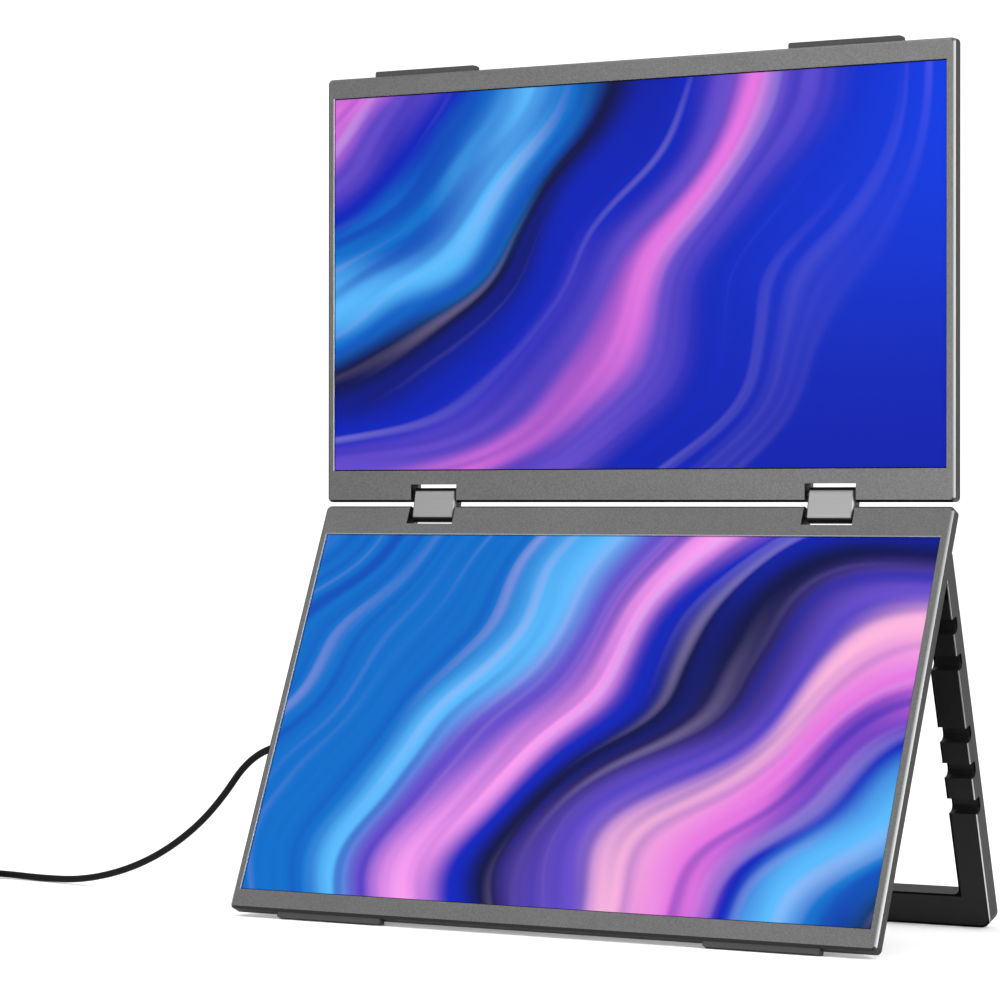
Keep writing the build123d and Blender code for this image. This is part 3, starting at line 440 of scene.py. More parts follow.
def back_paint():
    """The same paint, plain, on the back shells."""
    colour = scaled(bpy.context.scene.monitor_finish.paint_colour, 0.95)
    return grain_finish("back_paint", colour, 2200.0, 0.18, 0.5, 0.00004, Metallic=0.5)


def black_coat():
    """Black powder coat with a fine orange-peel surface."""
    return grain_finish("black_coat", (0.014, 0.014, 0.015), 1500.0, 0.25, 0.42, 0.00004, Metallic=0.2)


def box_plastic():
    """Spark-textured dark plastic."""
    return grain_finish("box_plastic", (0.045, 0.045, 0.047), 1900.0, 0.2, 0.55, 0.00005)


def smooth_plastic():
    """Smooth black plastic with faint handling marks."""
    return grain_finish(
        "smooth_plastic", (0.006, 0.006, 0.0065), 700.0, 0.2, 0.38, 0.00001, Specular_IOR_Level=0.2
    )


def key_plastic():
    """Satin black keys."""
    return grain_finish("key_plastic", (0.03, 0.03, 0.03), 2400.0, 0.15, 0.45, 0.00002)


def rubber(name, factor):
    """Matt rubber with a dusty fine grain."""
    colour = scaled(bpy.context.scene.monitor_finish.rubber_colour, factor)
    return grain_finish(name, colour, 1800.0, 0.2, 0.82, 0.00006)


def jacket():
    """Slightly waxy cable jacket."""
    colour = bpy.context.scene.monitor_cable.jacket_colour
    return grain_finish("cable_jacket", colour, 900.0, 0.2, 0.5, 0.00002, Specular_IOR_Level=0.06)


def strap_weave():
    """Looped fabric of the cable strap: two crossing rows of threads."""
    finish = Finish("strap_weave", Roughness=0.9)
    x, y, z = finish.axes()
    across = ((x + y) * 5200.0).math("SINE")
    along = (z * 5200.0 + (x - y) * 1700.0).math("SINE")
    threads = (across * along) * 0.5 + 0.5
    finish.feed("Base Color", finish.mix(threads, (0.006, 0.006, 0.007), (0.03, 0.03, 0.032)))
    finish.bump(threads, 0.6, 0.0002)
    return finish.material


def cap_metal():
    """Pale satin metal with fine lines along the hinge, a little darker in colour on the side bevels (kind
    1).
    """
    colour = bpy.context.scene.monitor_finish.cap_colour
    finish = Finish("cap_metal", Metallic=0.9)
    bevel = finish.face_kind().smooth(0.4, 0.6)
    lines = finish.noise(1400.0, 3.0, 0.7, stretch=(0.02, 1.0, 1.0))
    tone = finish.mix(lines.smooth(0.25, 0.75), scaled(colour, 0.97), scaled(colour, 1.03))
    finish.feed("Base Color", finish.mix(bevel, tone, scaled(colour, 0.9)))
    finish.feed("Roughness", lines * 0.06 + 0.41)
    finish.bump(lines, 0.05, 0.00001)
    return finish.material


def turned_steel(name, colour, roughness):
    """Bright machined steel with fine tool lines."""
    finish = Finish(name, Metallic=1.0)
    lines = finish.noise(2000.0, 2.0, 0.6, stretch=(0.05, 1.0, 1.0))
    finish.feed("Base Color", finish.mix(lines, scaled(colour, 0.85), scaled(colour, 1.1)))
    finish.feed("Roughness", lines * 0.12 + (roughness - 0.06))
    return finish.material


def board_mask():
    """Green solder mask with copper tracks showing through it."""
    finish = Finish("board_mask", Roughness=0.35)
    x, _, _ = finish.axes()
    tracks = (x * 1800.0).math("SINE").smooth(0.8, 0.95) * finish.noise(90.0).smooth(0.45, 0.55)
    finish.feed("Base Color", finish.mix(tracks, (0.012, 0.09, 0.035), (0.04, 0.2, 0.07)))
    finish.bump(tracks, 0.3, 0.00003)
    return finish.material


def chip_resin():
    """Black moulded chip bodies."""
    return grain_finish("chip_resin", (0.02, 0.02, 0.021), 3000.0, 0.2, 0.6, 0.00002)


def clear_guide():
    """White films and clear acrylic behind the panel."""
    return grain_finish("clear_guide", (0.8, 0.81, 0.83), 400.0, 0.03, 0.3, 0.00001)


def amber_film():
    """Flat flexible circuit with its conductors."""
    finish = Finish("amber_film", Roughness=0.35)
    x, _, _ = finish.axes()
    wires = (x * 6280.0).math("SINE").smooth(-0.2, 0.2)
    finish.feed("Base Color", finish.mix(wires, (0.4, 0.16, 0.03), (0.62, 0.3, 0.08)))
    return finish.material


def picture(name, centre, stops, bend, calm, highlight_top=False):
    """A lit picture of long silky streams that sweep round a point beside the screen.

    The distance from the point, bent by slow noise and frayed by noise drawn out along the arcs, picks a
    colour from a row of stops. Finer drawn-out noise lights and shades the streams. Towards the calm
    side, given by its direction and by where the fade starts and ends, the picture turns deep blue. A dark
    margin runs round it, except at the left and, where asked, at the top: there the picture is lit to its
    edge beside a painted highlight line on the bezel.
    """
    screen = bpy.context.scene.monitor_screen
    width, height = screen.picture_width, screen.picture_height
    finish = Finish(
        name, Base_Color=(0.002, 0.002, 0.003), Roughness=0.5, Specular_IOR_Level=0.03,
        Emission_Strength=screen.brightness,
    )
    uv = finish.node("ShaderNodeUVMap", {"uv_map": "Picture"})
    u, v, _ = finish.axes(uv)
    x = u * (width / height)
    dx = x - centre[0]
    dy = v - centre[1]
    radius = (dx * dx + dy * dy).math("SQRT")
    turn = dy.math("ARCTAN2", dx)
    slow = finish.noise(1.5, 1.0, 0.4, place=uv) - 0.5
    bent = radius + slow * bend
    fray = finish.noise(1.0, 1.0, 0.4, place=finish.point(bent * 4.0, turn * 1.2)) - 0.5
    level = bent + fray * 0.26
    colour = finish.node("ShaderNodeValToRGB", {"stops": stops}, {0: level * 0.5})
    silk = finish.noise(1.0, 1.0, 0.5, place=finish.point(bent * 17.0, turn * 0.7, 3.0))
    colour = finish.mix(silk.smooth(0.45, 0.75) * 0.55, colour, (0.0, 0.012, 0.42))
    colour = finish.mix((1 - silk).smooth(0.55, 0.8) * 0.3, colour, (0.75, 0.6, 1.0))
    angle, start, end = calm
    side = x * math.cos(angle) + v * math.sin(angle) + slow * 0.35
    deep = finish.mix(v.smooth(0.0, 1.1), (0.0003, 0.012, 0.42), (0.001, 0.05, 0.85))
    colour = finish.mix(side.smooth(start, end), colour, deep)
    # No dark margin beside the painted highlight lines: at the left, and at the top where asked
    top = HIGHLIGHT_MARGIN if highlight_top else DARK_MARGIN
    lit = (u * width).smooth(*HIGHLIGHT_MARGIN) * ((1 - u) * width).smooth(*DARK_MARGIN)
    lit = lit * (v * height).smooth(*DARK_MARGIN) * ((1 - v) * height).smooth(*top)
    finish.feed("Emission Color", finish.mix(lit, (0.0, 0.0, 0.0), colour))
    return finish.material


# Meshes


def grid_faces(rows, columns, around=True):
    """Quads between neighbouring rows and columns; the last column joins the first when it goes around."""
    i, j = np.meshgrid(np.arange(rows - 1), np.arange(columns if around else columns - 1), indexing="ij")
    k = (j + 1) % columns
    corners = [i * columns + j, i * columns + k, (i + 1) * columns + k, (i + 1) * columns + j]
    return np.stack(corners, -1).reshape(-1, 4).tolist()


def closed_faces(rows, columns):
    """Quads round a grid of rings, with one flat face over the first ring and one over the last."""
    count = rows * columns
    return grid_faces(rows, columns) + [list(range(columns)), list(range(count - columns, count))]


def new_mesh(name, points, faces):
    """A mesh from an array of points and a list of faces."""
    mesh = bpy.data.meshes.new(name)
    mesh.from_pydata(np.reshape(points, (-1, 3)).tolist(), [], faces)
    return mesh


def new_piece(name, points, faces, material, body, sharp=35.0):
    """Makes a closed mesh piece from arrays, turns its faces outwards and puts it on its body."""
    mesh = new_mesh(name, points, faces)
    tidy_mesh(mesh, 1e-7)
    finish_mesh(mesh, material, sharp)
    return placed(name, mesh, body)


def tidy_mesh(mesh, distance):
    """Joins doubled points and turns the faces outwards."""
    made = bmesh.new()
    made.from_mesh(mesh)
    bmesh.ops.remove_doubles(made, verts=made.verts, dist=distance)
    bmesh.ops.recalc_face_normals(made, faces=made.faces)
    made.to_mesh(mesh)
    made.free()


def finish_mesh(mesh, material, sharp):
    """Smooth shading up to an angle, with one material."""
    mesh.materials.clear()
    mesh.materials.append(material)
    mesh.shade_smooth()
    mesh.set_sharp_from_angle(angle=math.radians(sharp))


def linked(name, data):
    """An object in the scene for a mesh, curve, light or camera."""
    made = bpy.data.objects.new(name, data)
    bpy.context.scene.collection.objects.link(made)
    return made


def placed(name, mesh, body):
    """Links a mesh as an object that rides on a body."""
    piece = linked(name, mesh)
    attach(piece, body)
    return piece


def face_vectors(mesh, what):
    """The normal or the centre of each face, one row a face."""
    values = np.empty(len(mesh.polygons) * 3)
    mesh.polygons.foreach_get(what, values)
    return values.reshape(-1, 3)


def face_places(mesh, place):
    """Middle of each face from a screen's own origin, how far the face turns to the front, and its normal."""
    normals = face_vectors(mesh, "normal")
    return face_vectors(mesh, "center") - place.origin, -normals @ place.back, normals


def face_kinds(mesh, place):
    """Kind of each face of a screen frame: 0 front, 1 bevel, 2 wall, 3 hinge notch, 4 picture opening.

    The kind follows from how far the face turns from the screen's front and from where it lies. A bevel
    that faces upwards, and not mainly to a side, is painted like the front so that it looks light, a
    painted highlight on the upward edges.
    """
    own, facing, normals = face_places(mesh, place)
    beside = np.abs(np.abs(own[:, 0]) - HINGE_X) < NOTCH_HALF
    along = own @ place.along
    level = np.abs(facing) < BEVEL_TURN
    in_notch = beside & (along < NOTCH_DEPTH) & level
    opening = (np.abs(own[:, 0]) < OPENING_HALF) & (np.abs(along - OPENING_MIDDLE) < OPENING_REACH) & level
    # Upward bevels are painted like the front, a painted highlight
    upward = (normals[:, 2] > 0.1) & (np.abs(normals[:, 0]) < 0.62)
    front = (facing > FRONT_TURN) | ((facing > BEVEL_TURN) & upward)
    return np.select([in_notch, opening, front, facing > BEVEL_TURN], [3.0, 4.0, 0.0, 1.0], 2.0)


def stand_kinds(mesh, place):
    """Kind of each face of the stand: 3 in front, 5 on the floors of its notches, 2 elsewhere, where the
    paint is made darker as painted shade.
    """
    own, facing, _ = face_places(mesh, place)
    depth = own @ place.back
    front = facing > 0.9
    return np.select([front & (depth < depth[front].min() + STAND_FRONT), front], [3.0, 5.0], 2.0)


def cap_kinds(mesh, place):
    """Kind of each face of the hinge caps: 1 on the side bevels, 0 elsewhere."""
    return (np.abs(face_vectors(mesh, "normal")[:, 0]) > 0.3).astype(float)


def softened(node, material, body, width, kinds=None, place=None):
    """A copy of a frame node, merged and cleaned of flat edges, with its sharp edges rounded by a width."""
    mesh = frame["nodes"][node].data.copy()
    made = bmesh.new()
    made.from_mesh(mesh)
    bmesh.ops.remove_doubles(made, verts=made.verts, dist=JOIN_WITHIN)
    bmesh.ops.dissolve_limit(
        made, angle_limit=FLAT_EDGE, verts=made.verts, edges=made.edges, use_dissolve_boundaries=False
    )
    made.to_mesh(mesh)
    made.free()
    if kinds:
        marks = mesh.attributes.new(FACE_KIND, "FLOAT", "FACE")
        marks.data.foreach_set("value", kinds(mesh, place))
    finish_mesh(mesh, material, 30.0)
    piece = placed("soft_" + node, mesh, body)
    if width > 0:
        bevel = piece.modifiers.new("Edge round", "BEVEL")
        bevel.width = width
        bevel.segments = 2
        bevel.limit_method = "ANGLE"
        bevel.angle_limit = SHARP_EDGE
        bevel.use_clamp_overlap = True
        bevel.harden_normals = False
        piece.modifiers.new("Even shading", "WEIGHTED_NORMAL").keep_sharp = True
    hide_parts(node)
    return piece


def paint_node(node, material):
    """Gives a frame node that keeps its own shape a new finish."""
    mesh = frame["nodes"][node].data
    mesh.materials.clear()
    mesh.materials.append(material)


def rounded_outline(half_width, low, high, radius, corner_steps):
    """Corners of a rounded rectangle, counter-clockwise, as arrays of x and s.

    Each corner is a quarter circle of the radius about a centre that lies the radius in from both sides.
    """
    turn = np.linspace(0, math.pi / 2, corner_steps) + np.arange(4)[:, None] * math.pi / 2
    middle_x = np.array([1, -1, -1, 1])[:, None] * (half_width - radius)
    middle_s = np.array([high - radius, high - radius, low + radius, low + radius])[:, None]
    return (middle_x + radius * np.cos(turn)).ravel(), (middle_s + radius * np.sin(turn)).ravel()


def screws(place, columns=64, rings=18):
    """Screws with a shank, a head and a cross recess, as rings of points about each screw's axis.

    A profile of (radius, level) goes up the shank, round the head and in over its flat top. Two crossing
    arms, each a product of soft steps across and along it, are sunk into the top.
    """
    turn = np.linspace(0, 2 * math.pi, columns, endpoint=False)
    profile = [
        (SCREW_R, SCREW_TIP), (SCREW_R, SCREW_NECK), (SCREW_HEAD_R, SCREW_NECK),
        (SCREW_HEAD_R, SCREW_TOP - 0.00015), (SCREW_HEAD_R * 0.97, SCREW_TOP - 0.00004),
    ]
    profile += [(inner, SCREW_TOP) for inner in np.linspace(SCREW_HEAD_R * 0.92, 0.00001, rings)]
    radius, level = np.array(profile).T[:, :, None]
    x, s = radius * np.cos(turn), radius * np.sin(turn)
    arms = [
        np.clip((ARM_HALF - np.abs(a)) / ARM_SIDE, 0, 1) * np.clip((ARM_REACH - np.abs(b)) / ARM_SIDE, 0, 1)
        for a, b in ((x, s), (s, x))
    ]
    depth = level - np.where(level < SCREW_TOP, 0.0, np.maximum(*arms) * ARM_DEPTH)
    points, faces = [], []
    one = closed_faces(len(profile), columns)
    for number, (at_x, at_s) in enumerate((a, b) for a in SCREW_X for b in SCREW_S):
        points.append(place(x + at_x, s + at_s, depth).reshape(-1, 3))
        faces += [[corner + number * x.size for corner in face] for face in one]
    return np.concatenate(points), faces


def ribbed_sleeve(start, heading, ribs=5, rows=61, columns=40):
    """A tapering sleeve with rounded grooves, along a level heading.

    Its radius runs evenly from thin to thick, less a groove that follows the square of a cosine wave. Each
    ring is the heading times the distance, plus the radius times the side way and up on a circle.
    """
    share = np.linspace(0, 1, rows)
    groove = (0.5 - 0.5 * np.cos(2 * math.pi * ribs * share)) ** 2
    radius = SLEEVE_THIN + (SLEEVE_THICK - SLEEVE_THIN) * share - GROOVE_DEPTH * groove
    turn = np.linspace(0, 2 * math.pi, columns, endpoint=False)
    ring = np.stack([np.ones(columns), np.cos(turn), np.sin(turn)], -1)
    scale = np.stack([share * SLEEVE_LENGTH, radius, radius], -1)
    side = np.array([-heading[1], heading[0], 0.0])
    points = (scale[:, None, :] * ring) @ np.array([heading, side, [0.0, 0.0, 1.0]]) + start
    return points, closed_faces(rows, columns)


class ScreenPlace:
    """Turns a screen's x, distance from its hinge edge and depth behind its face into the frame.

    The upper screen runs up from its hinge edge, and the leaning lower one runs down.
    """

    def __init__(self, which):
        screen = bpy.context.scene.monitor_screen
        _, axis_y, axis_z = JOINT_PLACES[which + "_tilt"]
        self.hangs = which == "lower"
        lean = screen.lean if self.hangs else 0.0
        over = math.pi - lean if self.hangs else 0.0
        self.along = np.array([0.0, -math.sin(over), math.cos(over)])
        self.back = np.array([0.0, math.cos(lean), -math.sin(lean)])
        axis = np.array([0.0, axis_y, axis_z])
        self.origin = axis - screen.axis_in * self.along - screen.axis_back * self.back

    def __call__(self, x, s, depth):
        x, s, depth = (np.asarray(part, float)[..., None] for part in (x, s, depth))
        return self.origin + x * np.array([1.0, 0.0, 0.0]) + s * self.along + depth * self.back


# Operators


class MONITOR_OT_studio(bpy.types.Operator):
    """Builds the seamless floor, the soft lights, a dark card, the camera and the white surroundings"""

    bl_idname = "monitor.studio"
    bl_label = "Studio"

    def execute(self, context):
        studio = context.scene.monitor_studio
        self.backdrop(studio)
        self.lights(studio)
        self.card()
        self.camera(studio)
        world = bpy.data.worlds.new("studio_world")
        world.use_nodes = True
        sky = world.node_tree.nodes["Background"]
        sky.inputs["Color"].default_value = (1.0, 1.0, 1.0, 1.0)
        sky.inputs["Strength"].default_value = studio.world_strength
        context.scene.world = world
        context.scene.view_settings.view_transform = "Standard"
        return {"FINISHED"}

    def backdrop(self, studio):
        """A floor that rises into a wall: two straight runs joined by a quarter circle, carried across."""
        turn = np.linspace(0, math.pi / 2, 24)
        radius, front_y, wall_y, height, half = 0.9, -5.0, 2.6, 3.4, 5.0
        y = np.concatenate([[front_y], wall_y - radius + radius * np.sin(turn), [wall_y]])
        z = np.concatenate([[0.0], radius - radius * np.cos(turn), [height]])
        x = np.array([-half, half])
        points = np.stack(np.broadcast_arrays(x[None, :], y[:, None], z[:, None]), -1)
        mesh = new_mesh("studio_floor", points, grid_faces(len(y), 2, around=False))
        finish = Finish("studio_paper", Base_Color=studio.floor_colour, Roughness=0.9)
        finish_mesh(mesh, finish.material, 60.0)
        floor = linked("studio_floor", mesh)

    def lights(self, studio):
        """A soft light in front, a tall narrow one at the right, one overhead and a weak one at the left.

        Each has a name, a place, a width and height and a power, and faces the middle of the object.
        """
        aim = Vector((0.0, 0.0, 0.19))
        for name, place, size, power in (
            ("key_light", (-0.4, -2.0, 0.5), (0.8, 0.8), studio.key_power),
            ("strip_light", (1.5, -0.5, 0.6), (0.35, 1.5), studio.strip_power),
            ("top_light", (-0.4, 0.0, 1.9), (0.6, 0.6), studio.strip_power * 0.3),
            ("fill_light", (-0.9, -1.25, 1.4), (0.8, 0.8), studio.key_power * 0.35),
        ):
            light = bpy.data.lights.new(name, "AREA")
            light.shape = "RECTANGLE"
            light.size, light.size_y = size
            light.energy = power
            lamp = linked(name, light)
            lamp.location = place
            lamp.rotation_euler = (aim - Vector(place)).to_track_quat("-Z", "Y").to_euler()

    def card(self):
        """A dark upright card at the left, out of the picture, that the left bevels mirror."""
        middle = np.array([-0.83, 0.48, 0.24])
        across, up = np.array([0.18, 0.24, 0.0]), np.array([0.0, 0.0, 0.45])
        corners = [middle + a * across + b * up for a, b in ((-1, -1), (1, -1), (1, 1), (-1, 1))]
        mesh = new_mesh("studio_card", corners, [(0, 1, 2, 3)])
        finish_mesh(mesh, Finish("studio_card", Base_Color=(0.0, 0.0, 0.0), Roughness=1.0).material, 60.0)
        card = linked("studio_card", mesh)
        card.visible_camera = card.visible_diffuse = card.visible_shadow = False

    def camera(self, studio):
        """The camera looks along its heading, with its slight rise and roll."""
        data = bpy.data.cameras.new("photo_camera")
        data.sensor_width = 36.0
        data.lens = studio.lens
        data.clip_start, data.clip_end = 0.05, 50.0
        camera = linked("photo_camera", data)
        level = Matrix.Rotation(studio.camera_turn, 4, "Z")
        upright = Matrix.Rotation(math.pi / 2 + studio.camera_rise, 4, "X")
        rolled = Matrix.Rotation(studio.camera_roll, 4, "Z")
        camera.matrix_world = Matrix.Translation(studio.camera_place) @ level @ upright @ rolled
        bpy.context.scene.camera = camera


class MONITOR_OT_cable(bpy.types.Operator):
    """Lays the cable, its coil, its two ends and the strap that ties it"""

    bl_idname = "monitor.cable"
    bl_label = "Cable"

    # Turns of the lower layer, of the climb and of the upper layer
    turns_in, turns_climb, turns_out, points_a_turn = 3.0, 0.5, 2.75, 20

    # Points of the tail: how far past the coil each lies, and its share of the way down to the tail's height
    tail_steps = ((0.011, 0.0), (0.025, 1.0), (0.036, 1.0))
    tail_height = 0.0027

    def execute(self, context):
        cable = context.scene.monitor_cable
        material = jacket()
        coil, heading = self.coil(cable)
        end = coil[-1] + heading * cable.diameter
        drop = np.array([0.0, 0.0, self.tail_height - end[2]])
        tail = [end] + [end + heading * ahead + drop * share for ahead, share in self.tail_steps]
        start = np.array([(cable.coil_centre[0] + cable.diameter, coil[0][1], coil[0][2])])
        route = np.concatenate([np.array(LEAD_ROUTE), start, coil, np.array(tail)])
        piece = self.jacket_curve(route, cable.diameter, material)
        on_cable = [
            softened("cable_grip", material, "lower_screen", 0.0002),
            self.relief("cable_strain_relief", route[0], np.array([1.0, 0.0, 0.0]), material),
            softened("far_grip", material, "lower_screen", 0.0002),
            self.relief("far_strain_relief", route[-1], heading, material),
            softened("cable_tie", strap_weave(), "lower_screen", 0.00015),
        ]
        steel = turned_steel("plug_shell_steel", (0.6, 0.6, 0.61), 0.25)
        for node in ("cable_plug", "far_plug"):
            paint_node(node, steel)
            on_cable.append(frame["nodes"][node])
        return {"FINISHED"}

    def relief(self, node, start, heading, material):
        """The ribbed sleeve between the jacket and a grip."""
        points, faces = ribbed_sleeve(start, heading)
        piece = new_piece("ribbed_" + node, points, faces, material, "lower_screen")
        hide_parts(node)
        return piece

    def coil(self, cable):
        """The coil's points, and the way that its end heads.

        A spiral in, half a turn of smooth climb, then a spiral out one layer higher. The radius falls by one
        pitch a turn in the lower layer and grows by one pitch a turn in the upper one; during the climb it
        dips by a sine and the height rises by a cosine.
        """
        total = self.turns_in + self.turns_climb + self.turns_out
        turns = np.linspace(0, total, round(total * self.points_a_turn) + 1)
        climb = np.clip((turns - self.turns_in) / self.turns_climb, 0, 1)
        inner = cable.coil_radius - cable.coil_pitch * self.turns_in
        dip = np.sin(math.pi * climb) * cable.coil_pitch * self.turns_climb / math.pi
        spiral_in = cable.coil_radius - cable.coil_pitch * np.minimum(turns, self.turns_in)
        spiral_out = cable.coil_pitch * np.maximum(turns - self.turns_in - self.turns_climb, 0)
        radius = np.where(turns <= self.turns_in, spiral_in, inner - dip + spiral_out)
        height = cable.coil_pitch * (1 - np.cos(math.pi * climb)) / 2
        angle = math.pi / 2 + 2 * math.pi * turns
        x, y, z = cable.coil_centre
        points = np.stack([x + radius * np.cos(angle), y + radius * np.sin(angle), z + height], -1)
        turn_rate = 2 * math.pi * radius[-1]
        outward = np.array([math.cos(angle[-1]), math.sin(angle[-1]), 0.0])
        onward = np.array([-math.sin(angle[-1]), math.cos(angle[-1]), 0.0])
        heading = outward * cable.coil_pitch + onward * turn_rate
        return points, heading / np.linalg.norm(heading)

    def jacket_curve(self, route, diameter, material):
        """One smooth open curve through the route, given the jacket's thickness."""
        curve = bpy.data.curves.new("cable_jacket", "CURVE")
        curve.dimensions = "3D"
        curve.bevel_depth = diameter / 2
        curve.bevel_resolution = 5
        curve.resolution_u = 8
        curve.use_fill_caps = True
        spline = curve.splines.new("NURBS")
        spline.points.add(len(route) - 1)
        spline.points.foreach_set("co", np.c_[route, np.ones(len(route))].ravel())
        spline.order_u = 3
        spline.use_endpoint_u = True
        curve.materials.append(material)
        piece = linked("cable_jacket", curve)
        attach(piece, "lower_screen")
        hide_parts("cable_lead", "cable_coil", "cable_tail")
        return piece


class MONITOR_OT_displays(bpy.types.Operator):
    """Makes the two lit screens"""

    bl_idname = "monitor.displays"
    bl_label = "Displays"

    def execute(self, context):
        deep, navy = (0.0003, 0.015, 0.5), (0.001, 0.003, 0.06)
        pink, rose, pale = (0.8, 0.18, 0.76), (0.98, 0.34, 0.9), (0.98, 0.47, 0.74)
        cyan, azure, violet = (0.1, 0.49, 0.98), (0.0005, 0.16, 0.6), (0.13, 0.07, 0.59)
        upper_stops = (
            (0.08, rose), (0.14, pale), (0.2, pink), (0.25, violet), (0.3, deep), (0.36, azure),
            (0.41, cyan), (0.46, azure), (0.5, navy), (0.56, deep), (0.62, violet), (0.67, pink),
            (0.72, violet), (0.8, deep),
        )
        lower_stops = (
            (0.1, pale), (0.17, rose), (0.22, violet), (0.27, navy), (0.33, azure), (0.37, cyan),
            (0.42, deep), (0.48, pink), (0.54, pale), (0.6, violet), (0.66, navy), (0.72, deep),
            (0.78, rose), (0.84, violet), (0.9, cyan), (0.96, azure),
        )
        upper = picture("upper_picture", (-0.15, 1.25), upper_stops, 0.5, (-0.5, 0.55, 1.25))
        lower = picture("lower_picture", (2.1, -0.35), lower_stops, 0.6, (2.4, 0.8, 1.6), highlight_top=True)
        self.display("upper", upper)
        self.display("lower", lower)
        return {"FINISHED"}

    def display(self, which, material):
        """A glass plate: a rounded outline carried through a depth profile that rolls over at the front."""
        screen = bpy.context.scene.monitor_screen
        low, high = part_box("upper_display_glass")
        place, flat = ScreenPlace(which), ScreenPlace("upper")
        s_low, s_high = low.z - flat.origin[2], high.z - flat.origin[2]
        front, back = low.y - flat.origin[1], high.y - flat.origin[1]
        roll, corner_radius, rows = 0.0002, 0.001, []
        for inset, depth in ((0, back), (0, front + roll), (roll * 0.3, front + roll * 0.3), (roll, front)):
            x, s = rounded_outline(high.x - inset, s_low + inset, s_high - inset, corner_radius, 4)
            rows.append(np.stack([x, s, np.full_like(x, depth)], -1))
        own = np.concatenate(rows)
        mesh = new_mesh(which + "_display", place(*own.T), closed_faces(len(rows), len(rows[0])))
        layer = mesh.uv_layers.new(name="Picture")
        corner = np.empty(len(mesh.loops), np.int32)
        mesh.loops.foreach_get("vertex_index", corner)
        u = own[:, 0] / screen.picture_width + 0.5
        v = (own[:, 1] - screen.picture_rise) / screen.picture_height
        v = 1 - v if place.hangs else v
        layer.data.foreach_set("uv", np.stack([u, v], -1)[corner].ravel())
        tidy_mesh(mesh, 1e-8)
        finish_mesh(mesh, material, 30.0)
        piece = placed(which + "_display", mesh, which + "_screen")
        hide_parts(which + "_display_glass")


class MONITOR_OT_housings(bpy.types.Operator):
    """Finishes the front frames and back shells of both screens"""

    bl_idname = "monitor.housings"
    bl_label = "Screen housings"

    def execute(self, context):
        softness = context.scene.monitor_finish.edge_softness
        back = back_paint()
        strips = rubber("strip_rubber", 1.0)
        for which in ("upper", "lower"):
            body = which + "_screen"
            place = ScreenPlace(which)
            front = frame_paint(which + "_housing_paint", place)
            softened(which + "_front_frame", front, body, softness, kinds=face_kinds, place=place)
            softened(which + "_rear_cover", back, body, softness)
            softened(which + "_foot_strips", strips, body, 0.0)
        return {"FINISHED"}


class MONITOR_OT_hinges(bpy.types.Operator):
    """Finishes the links, their caps, the shafts, brackets and spring sleeves"""

    bl_idname = "monitor.hinges"
    bl_label = "Hinges"

    def execute(self, context):
        steel = turned_steel("shaft_steel", (0.5, 0.5, 0.51), 0.3)
        softened("hinge_links", smooth_plastic(), "hinge_link_pair", 0.00015)
        softened("hinge_caps", cap_metal(), "hinge_link_pair", 0.0001, kinds=cap_kinds)
        paint_node("friction_clips", steel)
        for which in ("upper", "lower"):
            for part in ("hinge_shafts", "hinge_brackets", "bracket_screws"):
                paint_node(which + "_" + part, steel)
        return {"FINISHED"}


class MONITOR_OT_stand(bpy.types.Operator):
    """Finishes the stand, its liner, pins, pads and bearing blocks"""

    bl_idname = "monitor.stand"
    bl_label = "Stand"

    def execute(self, context):
        # The stand's front faces are found as the upper screen's are, but lean by the stand's own tilt
        tilt = context.scene.monitor_finish.stand_tilt
        place = ScreenPlace("upper")
        place.back = np.array([0.0, math.cos(tilt), math.sin(tilt)])
        paint = frame_paint("stand_paint", place)
        softened("stand_frame", paint, "rear_stand", 0.0001, kinds=stand_kinds, place=place)
        softened("stand_liner", smooth_plastic(), "rear_stand", 0.0001)
        softened("stand_pads", rubber("pad_rubber", 0.6), "rear_stand", 0.0001)
        softened("stand_brackets", black_coat(), "lower_screen", 0.0003)
        paint_node("stand_pins", turned_steel("pin_steel", (0.5, 0.5, 0.51), 0.3))
        return {"FINISHED"}


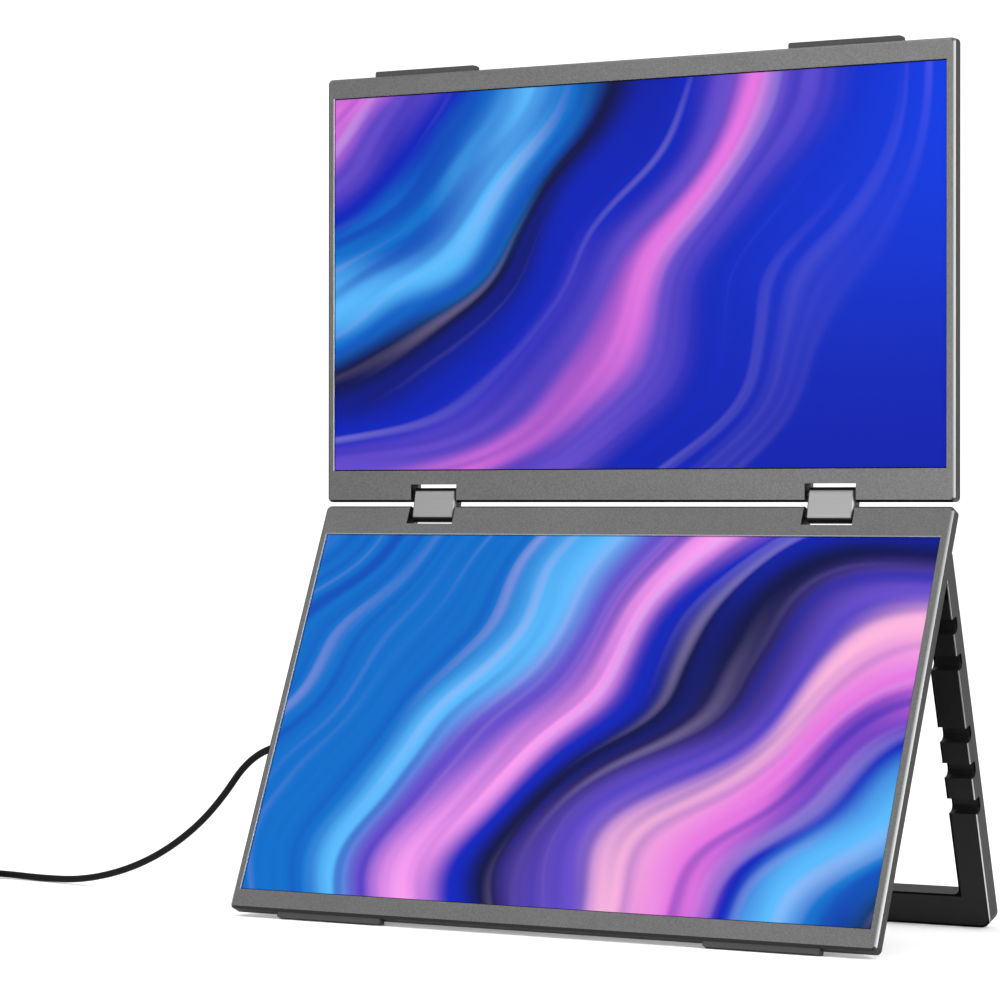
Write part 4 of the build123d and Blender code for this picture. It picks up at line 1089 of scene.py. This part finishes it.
class MONITOR_OT_controller(bpy.types.Operator):
    """Finishes the controller housing, its ports, keys and boards"""

    bl_idname = "monitor.controller"
    bl_label = "Controller housing"

    def execute(self, context):
        steel = turned_steel("socket_steel", (0.55, 0.55, 0.56), 0.28)
        keys, black, board, guide = key_plastic(), smooth_plastic(), board_mask(), clear_guide()
        softness = context.scene.monitor_finish.edge_softness
        softened("controller_cover", box_plastic(), "lower_screen", softness)
        points, faces = screws(ScreenPlace("lower"))
        heads = new_piece("recessed_screws", points, faces, steel, "lower_screen", 40.0)
        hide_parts("controller_cover_screws")
        for key in ("power_button", "plus_button", "menu_button", "minus_button"):
            softened(key, keys, key, 0.0001)
        finishes = {
            "controller_board_screws": steel,
            "usb_c_sockets": steel,
            "mini_hdmi_socket": steel,
            "audio_jack": black,
            "speakers": black,
            "push_switches": black,
            "controller_chips": chip_resin(),
            "controller_board": board,
            "switch_board": board,
            "lower_display_cable": amber_film(),
        }
        for node, material in finishes.items():
            paint_node(node, material)
        for which in ("upper", "lower"):
            paint_node(which + "_light_guide", guide)
            paint_node(which + "_panel_tray", steel)
            paint_node(which + "_driver_board", board)
        return {"FINISHED"}


class MONITOR_PT_pieces(bpy.types.Panel):
    """Lists the operators that make the monitor"""

    bl_label = "Dual portable monitor"
    bl_idname = "MONITOR_PT_pieces"
    bl_space_type = "VIEW_3D"
    bl_region_type = "UI"
    bl_category = "Monitor"

    def draw(self, context):
        column = self.layout.column(align=True)
        for operator in OPERATORS:
            column.operator(operator.bl_idname)


OPERATORS = (
    MONITOR_OT_studio,
    MONITOR_OT_cable,
    MONITOR_OT_displays,
    MONITOR_OT_housings,
    MONITOR_OT_hinges,
    MONITOR_OT_stand,
    MONITOR_OT_controller,
)
SETTINGS = {
    "monitor_studio": StudioSettings,
    "monitor_cable": CableSettings,
    "monitor_screen": ScreenSettings,
    "monitor_finish": FinishSettings,
}


def register():
    for settings in SETTINGS.values():
        bpy.utils.register_class(settings)
    for name, settings in SETTINGS.items():
        setattr(bpy.types.Scene, name, bpy.props.PointerProperty(type=settings))
    for operator in OPERATORS:
        bpy.utils.register_class(operator)
    bpy.utils.register_class(MONITOR_PT_pieces)


def unregister():
    bpy.utils.unregister_class(MONITOR_PT_pieces)
    for operator in reversed(OPERATORS):
        bpy.utils.unregister_class(operator)
    for name, settings in SETTINGS.items():
        delattr(bpy.types.Scene, name)
        bpy.utils.unregister_class(settings)


def main():
    register()
    bpy.ops.monitor.studio()
    bpy.ops.monitor.cable()
    bpy.ops.monitor.displays()
    bpy.ops.monitor.housings()
    bpy.ops.monitor.hinges()
    bpy.ops.monitor.stand()
    bpy.ops.monitor.controller()


if __name__ == "__main__":
    main()
